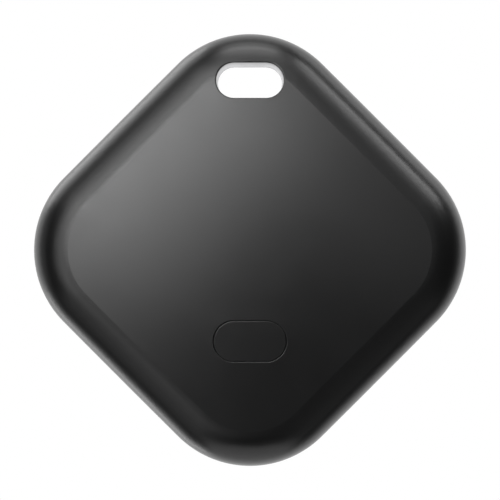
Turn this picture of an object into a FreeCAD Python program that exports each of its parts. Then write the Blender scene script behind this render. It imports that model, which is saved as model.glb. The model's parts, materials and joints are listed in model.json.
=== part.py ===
"""A key-ring radio tracker tag: a rounded square standing on one corner, 38 mm across its flats.

Every piece is drawn lying on its back: X to the right, Y up towards the key-ring slot, Z out of
the front face, with Z = 0 on the flat back. stand_up() then turns each finished piece upright, so
that the front faces -Y, the slot is at the top (+Z) and the origin is in the middle of the slot.
"""
import FreeCAD, Part
import math
import os

import Sketcher

Vector = FreeCAD.Vector
doc = FreeCAD.newDocument("tracker_tag")

# ---------------------------------------------------------------- driving dimensions, millimetres

SIZES = [
    ("case_side", 38.0, "case, flat to flat"),
    ("corner_radius", 10.6, "case corners, seen from the front"),
    ("parting_height", 2.6, "joint between the two shells, above the back"),
    ("dome_rise", 1.96, "crown of the front face, from the case's corner tips to its middle"),
    ("front_rounding", 4.4, "edge of the front face"),
    ("side_land", 0.09, "least upright wall between that rounding and the joint"),
    ("rear_rounding", 2.3, "edge of the back"),
    ("wall", 1.2, "both shells"),
    ("seam_bevel", 0.12, "bevel of each shell at the joint"),
    ("fit_gap", 0.05, "between pieces that are put together"),
    ("tongue_height", 0.75, "tongue of the rear shell"),
    ("tongue_root", 0.4, "tongue, sunk in the rear shell"),
    ("seal_height", 0.25, "seam seal over the tongue"),
    ("slot_length", 6.95, "key-ring slot, across"),
    ("slot_width", 3.66, "key-ring slot, along the tag"),
    ("tip_band", 3.2, "material between the slot and the corner's tip"),
    ("slot_edge", 0.12, "rounding of the slot's mouths"),
    ("slot_lip", 0.5, "shell left over each end of the liner"),
    ("slot_fall", 0.45, "fall of the front from the dome to the slot's outer edge"),
    ("liner_wall", 0.34, "slot liner at its front end"),
    ("liner_draft", 1.3, "draft of the liner's bore, degrees"),
    ("tube_wall", 0.8, "shell tube round the liner"),
    ("button_length", 7.4, "button face, across"),
    ("button_width", 4.1, "button face, along the tag"),
    ("button_drop", 9.35, "button centre below the case centre"),
    ("button_gap", 0.09, "all round the button"),
    ("button_edge", 0.05, "rounding of the button and of its opening"),
    ("button_travel", 0.2, "stroke"),
    ("button_roof", 0.6, "front shell over the button's flange"),
    ("flange_reach", 0.45, "button flange beyond the button"),
    ("flange_height", 0.35, "button flange"),
    ("membrane", 0.2, "silicone sheet under the button"),
    ("membrane_land", 0.7, "glued border of that sheet"),
    ("door_thickness", 1.15, "battery door disc"),
    ("door_gap", 0.1, "round the door"),
    ("door_rim", 0.4, "door outside the O-ring's groove"),
    ("door_edge", 0.25, "rounding of the door's rim"),
    ("well_wall", 1.0, "wall round the battery well"),
    ("coin_slot_length", 15.0, "coin slot in the door"),
    ("coin_slot_width", 2.0, "coin slot in the door"),
    ("coin_slot_depth", 0.6, "coin slot in the door"),
    ("coin_slot_edge", 0.15, "rounding of the coin slot"),
    ("mark_diameter", 0.76, "round index marks on the back"),
    ("mark_depth", 0.15, "round index marks on the back"),
    ("mark_inset", 1.3, "door's mark inside its rim"),
    ("ring_section", 0.55, "O-ring of the door"),
    ("seal_land", 0.25, "ledge between the bayonet notches and the O-ring"),
    ("lug_reach", 0.6, "bayonet lugs, radially"),
    ("lug_height", 0.6, "bayonet lugs and the ledge under them"),
    ("lug_angle", 24.0, "bayonet lugs, degrees each"),
    ("notch_gap", 0.1, "round a lug in its notch, radially"),
    ("notch_play", 1.5, "beside a lug in its notch, degrees"),
    ("stop_angle", 4.0, "bayonet stops, degrees each"),
    ("stop_play", 0.5, "between a lug and its stop, degrees"),
    ("door_turn", 30.0, "turn from locked to open, degrees"),
    ("plug_wall", 0.6, "ring on the door that carries the lugs"),
    ("pad_thickness", 0.35, "foam pad on the door"),
    ("pad_inset", 2.0, "foam pad inside the cell's rim"),
    ("cell_diameter", 20.0, "coin cell"),
    ("cell_height", 3.2, "coin cell"),
    ("cell_clearance", 0.4, "round the cell"),
    ("cell_edge", 0.3, "rounding of the can and the cap"),
    ("can_sheet", 0.25, "cell's steel sheet"),
    ("crimp_reach", 0.65, "can's rim folded in over the seal"),
    ("cap_inset", 1.0, "cap inside the can"),
    ("cap_rise", 0.05, "cap above the can's rim"),
    ("cap_gap", 0.16, "cap's open rim to the can's floor"),
    ("filling_inset", 1.5, "fillings inside the can"),
    ("lithium_height", 1.0, "lithium disc"),
    ("separator_space", 0.2, "between the two fillings"),
    ("contact_space", 0.45, "cell to board"),
    ("strip_thickness", 0.15, "spring contacts"),
    ("touch_gap", 0.01, "between pieces that rest on each other"),
    ("leaf_reach", 2.6, "negative leaf past the cell's axis"),
    ("leaf_toe", 2.0, "end of the negative leaf, on the cap"),
    ("leaf_span", 4.6, "slope of the negative leaf"),
    ("leaf_foot", 2.5, "foot of the negative leaf, on the board"),
    ("leaf_width", 3.0, "negative leaf"),
    ("clip_width", 2.4, "side contacts"),
    ("clip_foot", 2.15, "foot of a side contact, on the board"),
    ("clip_lean", 0.25, "foot of a side contact outside its touching line"),
    ("clip_bow", 0.75, "touching line of a side contact behind the board"),
    ("clip_height", 1.05, "side contacts behind the board"),
    ("clip_gap", 0.3, "beside a side contact in its window"),
    ("touch_width", 0.8, "buzzer leaves"),
    ("touch_length", 0.5, "end of a buzzer leaf, on the buzzer"),
    ("touch_slope", 0.7, "slope of a buzzer leaf"),
    ("touch_foot", 1.0, "foot of a buzzer leaf, on the board"),
    ("ceramic_touch", 1.8, "ceramic's leaf, left of the case's middle"),
    ("board_thickness", 0.6, "printed circuit board"),
    ("board_inset", 3.8, "board edge inside the case outline"),
    ("board_rise", 0.08, "least height from the board's tips to the inside of the dome"),
    ("board_gap", 0.3, "board to the slot's tube"),
    ("frame_wall", 1.3, "ring of the cell frame"),
    ("ear_thickness", 0.8, "screw ears of the cell frame"),
    ("ear_hole_gap", 0.1, "round the screws and the bosses"),
    ("boss_clearance", 1.03, "screw heads to the wall of the battery well"),
    ("boss_diameter", 2.6, "screw bosses"),
    ("boss_shoulder", 3.8, "shoulder of a boss that the board sits on"),
    ("boss_step", 1.25, "bosses past the board's rear"),
    ("screw_diameter", 1.1, "screws, over the root of the thread"),
    ("screw_length", 3.0, "screws, under the head"),
    ("head_diameter", 2.3, "screw heads"),
    ("head_height", 0.7, "screw heads"),
    ("head_edge", 0.3, "rounding of the screw heads"),
    ("drive_length", 1.3, "cross in a screw head"),
    ("drive_width", 0.3, "cross in a screw head"),
    ("drive_depth", 0.4, "cross in a screw head"),
    ("thread_gap", 0.01, "round a screw in its pilot hole"),
    ("pilot_spare", 0.3, "pilot hole past the screw's end"),
    ("buzzer_diameter", 15.0, "brass plate of the buzzer"),
    ("buzzer_plate", 0.15, "brass plate of the buzzer"),
    ("ceramic_diameter", 10.5, "piezo ceramic"),
    ("ceramic_thickness", 0.15, "piezo ceramic"),
    ("buzzer_rise", 3.2, "buzzer centre above the case centre"),
    ("buzzer_seat", 1.0, "width of the buzzer's seat ring"),
    ("seat_step", 0.12, "buzzer's seat behind the inside of the dome"),
    ("tape_thickness", 0.1, "tape that holds the buzzer"),
    ("switch_length", 3.6, "tact switch"),
    ("switch_width", 3.0, "tact switch"),
    ("switch_height", 0.5, "tact switch without its plunger"),
    ("switch_post", 0.25, "silicone sheet above the switch"),
    ("switch_floor", 0.1, "floor of the switch, and its cover"),
    ("switch_gap", 0.1, "round the snap dome"),
    ("post_inset", 0.32, "plunger's post inside the snap dome's rim"),
    ("post_gap", 0.04, "round the plunger's post"),
    ("dome_diameter", 2.1, "snap dome of the switch"),
    ("dome_sheet", 0.06, "snap dome's metal"),
    ("package_edge", 0.06, "rounding of the packages on the board"),
    ("chip_length", 1.0, "capacitors and resistors"),
    ("chip_width", 0.5, "capacitors and resistors"),
    ("capacitor_height", 0.35, "ceramic capacitors"),
    ("resistor_height", 0.3, "chip resistors"),
]

sheet = doc.addObject("Spreadsheet::Sheet", "Sizes")
for row, (alias, number, note) in enumerate(SIZES, 1):
    sheet.set(f"A{row}", alias)
    sheet.set(f"B{row}", str(number))
    sheet.set(f"C{row}", note)
    sheet.setAlias(f"B{row}", alias)
doc.recompute()

# ---------------------------------------------------------------- places that several pieces share

CASE_TIP = "((Sizes.case_side / 2 - Sizes.corner_radius) * sqrt(2) + Sizes.corner_radius)"
CELL_FLOOR = "(Sizes.door_thickness + Sizes.pad_thickness)"
CELL_TOP = f"({CELL_FLOOR} + Sizes.cell_height)"
BOARD_REAR = f"({CELL_TOP} + Sizes.contact_space)"
BOARD_FRONT = f"({BOARD_REAR} + Sizes.board_thickness)"
BOSS_FOOT = f"({BOARD_REAR} - Sizes.boss_step)"
EAR_FLOOR = f"({BOSS_FOOT} - Sizes.ear_thickness)"
SLOT_RISE = f"({CASE_TIP} - Sizes.tip_band - Sizes.slot_width / 2)"
LEDGE_FLOOR = "(Sizes.door_thickness + Sizes.fit_gap)"
LEDGE_TOP = f"({LEDGE_FLOOR} + Sizes.lug_height)"
PLUG_INNER = "(Sizes.cell_diameter / 2 + Sizes.cell_clearance)"
PLUG_OUTER = f"({PLUG_INNER} + Sizes.plug_wall)"
LUG_OUTER = f"({PLUG_OUTER} + Sizes.lug_reach)"
NOTCH_OUTER = f"({LUG_OUTER} + Sizes.notch_gap)"
RING_RADIUS = f"({NOTCH_OUTER} + Sizes.seal_land + Sizes.ring_section / 2)"
DOOR_RADIUS = f"({RING_RADIUS} + Sizes.ring_section / 2 + Sizes.door_rim)"
RECESS_RADIUS = f"({DOOR_RADIUS} + Sizes.door_gap)"
WELL_OUTER = f"({RECESS_RADIUS} + Sizes.well_wall)"
BOSS_REACH = f"({WELL_OUTER} + Sizes.head_diameter / 2 + Sizes.boss_clearance)"
LUG_FLOOR = f"({LEDGE_TOP} + Sizes.fit_gap)"
TUBE_GROWTH = "(Sizes.liner_wall + Sizes.fit_gap + Sizes.tube_wall)"
LAND_REACH = "(Sizes.flange_reach + 2 * Sizes.fit_gap + Sizes.membrane_land)"
RABBET_INSET = "Sizes.wall / 2"
CELL_RADIUS = "(Sizes.cell_diameter / 2)"
CAN_INSIDE = f"({CELL_FLOOR} + Sizes.can_sheet)"
CAN_HEIGHT = "(Sizes.cell_height - Sizes.can_sheet - Sizes.cap_rise)"
CRIMP_RADIUS = f"({CELL_RADIUS} - Sizes.crimp_reach)"
SWITCH_Y = "-Sizes.button_drop"
SWITCH_FLOOR = f"({BOARD_FRONT} + Sizes.switch_floor)"
DOME_RADIUS = f"(({CASE_TIP}^2 + Sizes.dome_rise^2) / (2 * Sizes.dome_rise))"


def dome_fall(reach, depth="0"):
    """How far the dome, or the surface depth inside it, falls from its top to that reach."""
    radius = f"({DOME_RADIUS} - {depth})"
    return f"({radius} - sqrt({radius}^2 - ({reach})^2))"


BUTTON_FALL = dome_fall("Sizes.button_drop + Sizes.button_width", "Sizes.button_roof")
SWITCH_TOP = f"({BOARD_FRONT} + Sizes.switch_height)"
COVER_REAR = f"({SWITCH_TOP} - Sizes.switch_floor)"
MEMBRANE_REAR = f"({SWITCH_TOP} + Sizes.switch_post)"
FLANGE_REAR = f"({MEMBRANE_REAR} + Sizes.membrane)"
FLANGE_TOP = f"({FLANGE_REAR} + Sizes.flange_height)"
BUTTON_CEILING = f"({FLANGE_TOP} + Sizes.fit_gap)"
THICKNESS = f"({BUTTON_CEILING} + Sizes.button_roof + {BUTTON_FALL})"


def dome_height(reach, depth="0"):
    """Height of the front dome, or of the surface depth inside it, at a distance from the axis."""
    return f"({THICKNESS} - {depth} - {dome_fall(reach, depth)})"


# The rounding's ball centre stays this far above the sphere's, so that a land is left at the tips.
BALL_RISE = f"({DOME_RADIUS} - {THICKNESS} + Sizes.parting_height + Sizes.side_land)"
LARGEST_ROUNDING = (
    f"(({DOME_RADIUS}^2 - {CASE_TIP}^2 - {BALL_RISE}^2) / (2 * ({DOME_RADIUS} - {CASE_TIP})))"
)
FRONT_ROUNDING = f"min(Sizes.front_rounding; {LARGEST_ROUNDING})"
# The board's tips keep clear of the inside of the dome, which falls towards the corners.
BOARD_SPACE = f"({THICKNESS} - Sizes.wall - {BOARD_FRONT} - Sizes.board_rise)"
BOARD_REACH = f"sqrt({BOARD_SPACE} * (2 * ({DOME_RADIUS} - Sizes.wall) - {BOARD_SPACE}))"
BOARD_INSET = f"max(Sizes.board_inset; {CASE_TIP} - {BOARD_REACH})"
BUZZER_EDGE = "Sizes.buzzer_rise + Sizes.buzzer_diameter / 2"
BUZZER_SEAT = f"({dome_height(BUZZER_EDGE, 'Sizes.wall')} - Sizes.seat_step)"
TAPE_REAR = f"({BUZZER_SEAT} - Sizes.tape_thickness)"
PLATE_REAR = f"({TAPE_REAR} - Sizes.buzzer_plate)"
CERAMIC_REAR = f"({PLATE_REAR} - Sizes.ceramic_thickness)"
SLOT_END = f"{SLOT_RISE} + Sizes.slot_width"
LINER_FRONT = f"({dome_height(SLOT_END, 'Sizes.slot_lip')} - Sizes.slot_fall)"
LINER_NARROWING = f"(({LINER_FRONT} - Sizes.slot_lip) * tan(Sizes.liner_draft * 1deg))"

OVERLAP = "0.2"  # how far an added feature is sunk into the solid that it joins
SPARE = "1"  # how far a block stands above the dome before it is trimmed
CLEAR = "2"  # how far a cutting tool reaches past the case
PICK = 0.2  # how far from its nominal place an edge is still looked for
SHORT_EDGE = 1.5  # a shorter edge near an opening isn't its rim

# ---------------------------------------------------------------- drawing tools


def value(expression):
    """The number that an expression in the sheet's names stands for."""
    return float(sheet.evalExpression(str(expression)))


def new_body(label):
    body = doc.addObject("PartDesign::Body", label)
    body.Label = label
    return body


def plane(body, role):
    return next(f for f in body.Origin.OriginFeatures if f.Role == role)


def new_sketch(body, name, z="0", y="0", x="0", turn="0"):
    """An empty sketch parallel to the back, with its own origin at x, y, z and turned about Z."""
    sketch = body.newObject("Sketcher::SketchObject", name)
    sketch.AttachmentSupport = [(plane(body, "XY_Plane"), "")]
    sketch.MapMode = "FlatFace"
    sketch.AttachmentOffset = FreeCAD.Placement(Vector(), FreeCAD.Rotation(0, 0, 0))
    for axis, expression in (("x", x), ("y", y), ("z", z)):
        sketch.setExpression(f"AttachmentOffset.Base.{axis}", str(expression))
    sketch.setExpression("AttachmentOffset.Rotation.Axis.z", "1")
    sketch.setExpression("AttachmentOffset.Rotation.Angle", str(turn))
    return sketch


def constrain(sketch, *rules):
    for rule in rules:
        sketch.addConstraint(Sketcher.Constraint(*rule))


def dimension(sketch, name, expression, *rule):
    """A named dimension that an expression drives."""
    index = sketch.addConstraint(Sketcher.Constraint(*rule, value(expression)))
    sketch.renameConstraint(index, name)
    sketch.setExpression(f"Constraints.{name}", str(expression))


def add_arc(sketch, centre_x, centre_y, radius, start, end):
    circle = Part.Circle(Vector(centre_x, centre_y, 0), Vector(0, 0, 1), radius)
    arc = Part.ArcOfCircle(circle, math.radians(start), math.radians(end))
    return sketch.addGeometry(arc, False)


def add_line(sketch, start, end):
    return sketch.addGeometry(Part.LineSegment(Vector(*start, 0), Vector(*end, 0)), False)


def draw_rounded_square(sketch, side, radius, name="square"):
    """Centred on the sketch's origin: four sides and four corner arcs, all tangent."""
    half, corner = value(side) / 2, value(radius)
    inner = half - corner
    sides, corners = [], []
    for k in range(4):
        across = math.radians(90 * k)
        cos, sin = round(math.cos(across)), round(math.sin(across))
        start = (half * cos + inner * sin, half * sin - inner * cos)
        end = (half * cos - inner * sin, half * sin + inner * cos)
        sides.append(add_line(sketch, start, end))
        middle = (inner * (cos - sin), inner * (sin + cos))
        corners.append(add_arc(sketch, *middle, corner, 90 * k, 90 * k + 90))
    for k in range(4):
        constrain(
            sketch,
            ("Vertical" if k % 2 == 0 else "Horizontal", sides[k]),
            ("Tangent", sides[k], 2, corners[k], 1),
            ("Tangent", corners[k], 2, sides[(k + 1) % 4], 1),
        )
        if k:
            constrain(sketch, ("Equal", corners[0], corners[k]))
    constrain(sketch, ("Symmetric", corners[0], 3, corners[2], 3, -1, 1))
    constrain(sketch, ("Equal", sides[0], sides[1]))
    dimension(sketch, f"{name}_radius", radius, "Radius", corners[0])
    dimension(
        sketch, f"{name}_side", f"({side}) / 2", "DistanceX", -1, 1, sides[0], 1
    )


def draw_stadium(sketch, length, width, name="stadium"):
    """A slot shape with full-round ends, centred on the sketch's origin and long along X."""
    radius = value(width) / 2
    reach = value(length) / 2 - radius
    right = add_arc(sketch, reach, 0, radius, -90, 90)
    left = add_arc(sketch, -reach, 0, radius, 90, 270)
    top = add_line(sketch, (reach, radius), (-reach, radius))
    bottom = add_line(sketch, (-reach, -radius), (reach, -radius))
    constrain(
        sketch,
        ("Tangent", right, 2, top, 1),
        ("Tangent", top, 2, left, 1),
        ("Tangent", left, 2, bottom, 1),
        ("Tangent", bottom, 2, right, 1),
        ("Horizontal", top),
        ("Symmetric", right, 3, left, 3, -1, 1),
    )
    dimension(sketch, f"{name}_radius", f"({width}) / 2", "Radius", right)
    span = f"({length}) - ({width})"
    dimension(sketch, f"{name}_span", span, "DistanceX", left, 3, right, 3)


def draw_circle(sketch, radius, name="circle"):
    circle = Part.Circle(Vector(0, 0, 0), Vector(0, 0, 1), value(radius))
    index = sketch.addGeometry(circle, False)
    constrain(sketch, ("Coincident", index, 3, -1, 1))
    dimension(sketch, f"{name}_radius", radius, "Radius", index)


def draw_rectangle(sketch, length, width, name="rectangle"):
    """Centred on the sketch's origin."""
    x, y = value(length) / 2, value(width) / 2
    corners = [(-x, -y), (x, -y), (x, y), (-x, y)]
    lines = [add_line(sketch, corners[k], corners[(k + 1) % 4]) for k in range(4)]
    for k in range(4):
        constrain(
            sketch,
            ("Coincident", lines[k], 2, lines[(k + 1) % 4], 1),
            ("Vertical" if k % 2 else "Horizontal", lines[k]),
        )
    constrain(sketch, ("Symmetric", lines[0], 1, lines[1], 2, -1, 1))
    dimension(sketch, f"{name}_length", length, "DistanceX", lines[0], 1, lines[0], 2)
    dimension(sketch, f"{name}_width", width, "DistanceY", lines[1], 1, lines[1], 2)


def draw_sector(sketch, inner, outer, angle, name="sector"):
    """A piece of a ring about the sketch's origin, centred on its X axis."""
    near, far, half = value(inner), value(outer), value(angle) / 2
    cos, sin = math.cos(math.radians(half)), math.sin(math.radians(half))
    outside = add_arc(sketch, 0, 0, far, -half, half)
    inside = add_arc(sketch, 0, 0, near, -half, half)
    top = add_line(sketch, (near * cos, near * sin), (far * cos, far * sin))
    bottom = add_line(sketch, (near * cos, -near * sin), (far * cos, -far * sin))
    constrain(
        sketch,
        ("Coincident", outside, 3, -1, 1),
        ("Coincident", inside, 3, -1, 1),
        ("Coincident", top, 1, inside, 2),
        ("Coincident", top, 2, outside, 2),
        ("Coincident", bottom, 1, inside, 1),
        ("Coincident", bottom, 2, outside, 1),
        ("Symmetric", outside, 1, outside, 2, -1),
        ("Symmetric", inside, 1, inside, 2, -1),
    )
    dimension(sketch, f"{name}_outer", outer, "Radius", outside)
    dimension(sketch, f"{name}_inner", inner, "Radius", inside)
    rise = f"2 * ({outer}) * sin(({angle}) / 2 * 1deg)"
    dimension(sketch, f"{name}_chord", rise, "DistanceY", outside, 1, outside, 2)
    rise = f"2 * ({inner}) * sin(({angle}) / 2 * 1deg)"
    dimension(sketch, f"{name}_inner_chord", rise, "DistanceY", inside, 1, inside, 2)


def add_pad(body, sketch, length, name):
    """Material from the sketch towards the front."""
    pad = body.newObject("PartDesign::Pad", name)
    pad.Profile = sketch
    pad.setExpression("Length", str(length))
    doc.recompute()
    return pad


def cut_pocket(body, sketch, depth, name, taper="0"):
    """A cut from the sketch towards the front. It has to take some material away."""
    before = body.Shape.Volume
    pocket = body.newObject("PartDesign::Pocket", name)
    pocket.Profile = sketch
    pocket.Reversed = True
    pocket.setExpression("Length", str(depth))
    pocket.setExpression("TaperAngle", str(taper))
    doc.recompute()
    if not body.Shape.Volume < before - 1e-6:
        raise RuntimeError(f"{body.Label}: {name} cuts nothing")
    return pocket


def pattern_about_axis(body, feature, count, name):
    """Repeats a feature evenly round the Z axis of the body."""
    pattern = body.newObject("PartDesign::PolarPattern", name)
    pattern.Originals = [feature]
    pattern.Axis = (plane(body, "Z_Axis"), [""])
    pattern.Angle = 360
    pattern.Occurrences = count
    body.Tip = pattern
    doc.recompute()
    return pattern


def trim_to_dome(body, depth="0", name="dome"):
    """Cuts away what stands above the front dome, or above the surface depth inside it.

    The cut is turned about a level axis through the sphere's centre, which keeps the sphere's poles
    far from the face.
    """
    sketch = body.newObject("Sketcher::SketchObject", name + "_outline")
    sketch.AttachmentSupport = [(plane(body, "XZ_Plane"), "")]
    sketch.MapMode = "FlatFace"
    radius, reach = f"{DOME_RADIUS} - {depth}", f"({CASE_TIP} + {CLEAR})"
    summit, sky = dome_height("0", depth), f"({THICKNESS} + 2 * {CLEAR})"
    top, side, edge, sphere = value(summit), value(reach), value(sky), value(radius)
    foot = value(dome_height(reach, depth))
    low = math.degrees(math.acos(side / sphere))
    arc = add_arc(sketch, 0, top - sphere, sphere, low, 180 - low)
    left = add_line(sketch, (-side, foot), (-side, edge))
    ceiling = add_line(sketch, (-side, edge), (side, edge))
    right = add_line(sketch, (side, edge), (side, foot))
    axis = add_line(sketch, (0, top - sphere), (side, top - sphere))
    sketch.toggleConstruction(axis)
    constrain(
        sketch,
        ("Coincident", arc, 2, left, 1),
        ("Coincident", left, 2, ceiling, 1),
        ("Coincident", ceiling, 2, right, 1),
        ("Coincident", right, 2, arc, 1),
        ("Vertical", left),
        ("Vertical", right),
        ("Symmetric", ceiling, 1, ceiling, 2, -2),
        ("PointOnObject", arc, 3, -2),
        ("Coincident", axis, 1, arc, 3),
        ("Horizontal", axis),
    )
    dimension(sketch, "radius", radius, "Radius", arc)
    dimension(sketch, "reach", reach, "DistanceX", -1, 1, ceiling, 2)
    dimension(sketch, "sky", sky, "DistanceY", -1, 1, ceiling, 2)
    dimension(sketch, "centre", f"{radius} - {summit}", "DistanceY", arc, 3, -1, 1)
    dimension(sketch, "axis_length", reach, "DistanceX", axis, 1, axis, 2)
    before = body.Shape.Volume
    groove = body.newObject("PartDesign::Groove", name)
    groove.Profile = sketch
    groove.ReferenceAxis = (sketch, ["Axis0"])
    groove.Midplane = True
    groove.setExpression("Angle", f"2 * asin({reach} / ({radius}))")
    doc.recompute()
    if not body.Shape.Volume < before - 1e-6:
        raise RuntimeError(f"{body.Label}: {name} cuts nothing")
    return groove


def round_edges(body, chosen, radius, name, kind="Fillet"):
    """Rounds, or with kind Chamfer bevels, the edges of the body for which chosen is true."""
    base = body.Tip
    edges = [f"Edge{n}" for n, e in enumerate(base.Shape.Edges, 1) if chosen(e)]
    if not edges:
        raise RuntimeError(f"{body.Label}: {name} finds no edge")
    feature = body.newObject(f"PartDesign::{kind}", name)
    feature.Base = (base, edges)
    feature.setExpression("Radius" if kind == "Fillet" else "Size", str(radius))
    doc.recompute()
    return feature


def level(edge, height, slack=0.02):
    """True for an edge that lies at this height."""
    box = edge.BoundBox
    return abs(box.ZMin - height) < slack and abs(box.ZMax - height) < slack


def stand_up(part, label=None):
    """Turns a finished piece upright and brings the slot's centre to the origin."""
    if label:
        part.Label = label
    part.Placement = FreeCAD.Placement(Vector(), FreeCAD.Rotation(Vector(1, 0, 0), 90))
    part.setExpression("Placement.Base.y", f"{THICKNESS} / 2")
    part.setExpression("Placement.Base.z", f"-{SLOT_RISE}")
    FINISHED.append(part)
    return part


FINISHED = []

# ---------------------------------------------------------------- plain solids for small pieces


def new_box(label, length, width, height, z, x="0", y="0", turn=0):
    """A block centred on x, y, with its rear face at z, turned about its own middle."""
    box = doc.addObject("Part::Box", label)
    box.setExpression("Length", str(length))
    box.setExpression("Width", str(width))
    box.setExpression("Height", str(height))
    box.Placement.Rotation = FreeCAD.Rotation(Vector(0, 0, 1), turn)
    cos, sin = round(math.cos(math.radians(turn)), 9), round(math.sin(math.radians(turn)), 9)
    box.setExpression(
        "Placement.Base.x", f"({x}) - ({length}) / 2 * {cos} + ({width}) / 2 * {sin}"
    )
    box.setExpression(
        "Placement.Base.y", f"({y}) - ({length}) / 2 * {sin} - ({width}) / 2 * {cos}"
    )
    box.setExpression("Placement.Base.z", str(z))
    return box


def new_cylinder(label, radius, height, z, x="0", y="0"):
    cylinder = doc.addObject("Part::Cylinder", label)
    cylinder.setExpression("Radius", str(radius))
    cylinder.setExpression("Height", str(height))
    for axis, expression in (("x", x), ("y", y), ("z", z)):
        cylinder.setExpression(f"Placement.Base.{axis}", str(expression))
    return cylinder


def subtract(label, base, tool):
    cut = doc.addObject("Part::Cut", label)
    cut.Base, cut.Tool = base, tool
    return cut


def unite(label, pieces):
    fuse = doc.addObject("Part::MultiFuse", label)
    fuse.Shapes = pieces
    return fuse


def group(label, pieces):
    """Separate solids that share one node."""
    compound = doc.addObject("Part::Compound", label)
    compound.Links = pieces
    return compound


def round_part(label, base, radius, chosen):
    """A Part fillet on the edges of base for which chosen is true."""
    doc.recompute()
    fillet = doc.addObject("Part::Fillet", label)
    fillet.Base = base
    size = value(radius)
    picked = [n for n, e in enumerate(base.Shape.Edges, 1) if chosen(e)]
    fillet.Edges = [(n, size, size) for n in picked]
    return fillet


# ---------------------------------------------------------------- the two shells


def draw_case(sketch, inset="0", name="case"):
    """The outline of the case, or a line at an even distance inside it."""
    side = f"Sizes.case_side - 2 * ({inset})"
    draw_rounded_square(sketch, side, f"Sizes.corner_radius - ({inset})", name)


def case_sketch(body, name, z, inset="0"):
    sketch = new_sketch(body, name, z, turn="45")
    draw_case(sketch, inset)
    return sketch


def case_ring_sketch(body, name, z, outer_inset, inner_inset):
    sketch = new_sketch(body, name, z, turn="45")
    draw_case(sketch, outer_inset, "outer")
    draw_case(sketch, inner_inset, "inner")
    return sketch


def slot_sketch(body, name, z, growth="0"):
    """The key-ring slot's outline, grown evenly by growth."""
    sketch = new_sketch(body, name, z, y=SLOT_RISE)
    length, width = (f"Sizes.slot_{way} + 2 * ({growth})" for way in ("length", "width"))
    draw_stadium(sketch, length, width)
    return sketch


def button_sketch(body, name, z, growth="0", hollow=None):
    """The button's outline grown by growth, less the one grown by hollow."""
    sketch = new_sketch(body, name, z, y="-Sizes.button_drop")
    length, width = (f"Sizes.button_{way} + 2 * ({growth})" for way in ("length", "width"))
    draw_stadium(sketch, length, width)
    if hollow is not None:
        length, width = (
            f"Sizes.button_{way} + 2 * ({hollow})" for way in ("length", "width")
        )
        draw_stadium(sketch, length, width, "hollow")
    return sketch


def boss_places():
    """Where the three screws are, as expressions: left, right and bottom corners."""
    return [(f"-{BOSS_REACH}", "0"), (BOSS_REACH, "0"), ("0", f"-{BOSS_REACH}")]


def domed_block(body, depth, name):
    """The front half of the case, or the same shape at an even depth inside it."""
    outline = case_sketch(body, name + "_plan", "Sizes.parting_height", depth)
    add_pad(body, outline, f"{THICKNESS} - Sizes.parting_height + {SPARE}", name)
    trim_to_dome(body, depth)
    low = value("Sizes.parting_height") + PICK
    rounding = f"{FRONT_ROUNDING} - {depth}"
    round_edges(body, lambda e: e.BoundBox.ZMin > low, rounding, name + "_rounding")


def front_cavity():
    """The space inside the front shell, less the bosses, ring and tubes that stand in it."""
    body = new_body("front_cavity")
    domed_block(body, "Sizes.wall", "space")
    up = THICKNESS
    tube = slot_sketch(body, "tube_plan", "Sizes.parting_height", TUBE_GROWTH)
    cut_pocket(body, tube, up, "slot_tube")
    land = button_sketch(body, "land_plan", FLANGE_REAR, LAND_REACH)
    cut_pocket(body, land, up, "button_land")
    seat = new_sketch(body, "seat_plan", BUZZER_SEAT, y="Sizes.buzzer_rise")
    draw_circle(seat, "Sizes.buzzer_diameter / 2", "outer")
    draw_circle(seat, "Sizes.buzzer_diameter / 2 - Sizes.buzzer_seat", "inner")
    cut_pocket(body, seat, up, "buzzer_ring")
    for number, (x, y) in enumerate(boss_places(), 1):
        boss = new_sketch(body, f"boss_plan_{number}", BOSS_FOOT, x=x, y=y)
        draw_circle(boss, "Sizes.boss_diameter / 2")
        cut_pocket(body, boss, up, f"boss_{number}")
        shoulder = new_sketch(body, f"shoulder_plan_{number}", BOARD_FRONT, x=x, y=y)
        draw_circle(shoulder, "Sizes.boss_shoulder / 2")
        cut_pocket(body, shoulder, up, f"shoulder_{number}")
    return body


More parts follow.
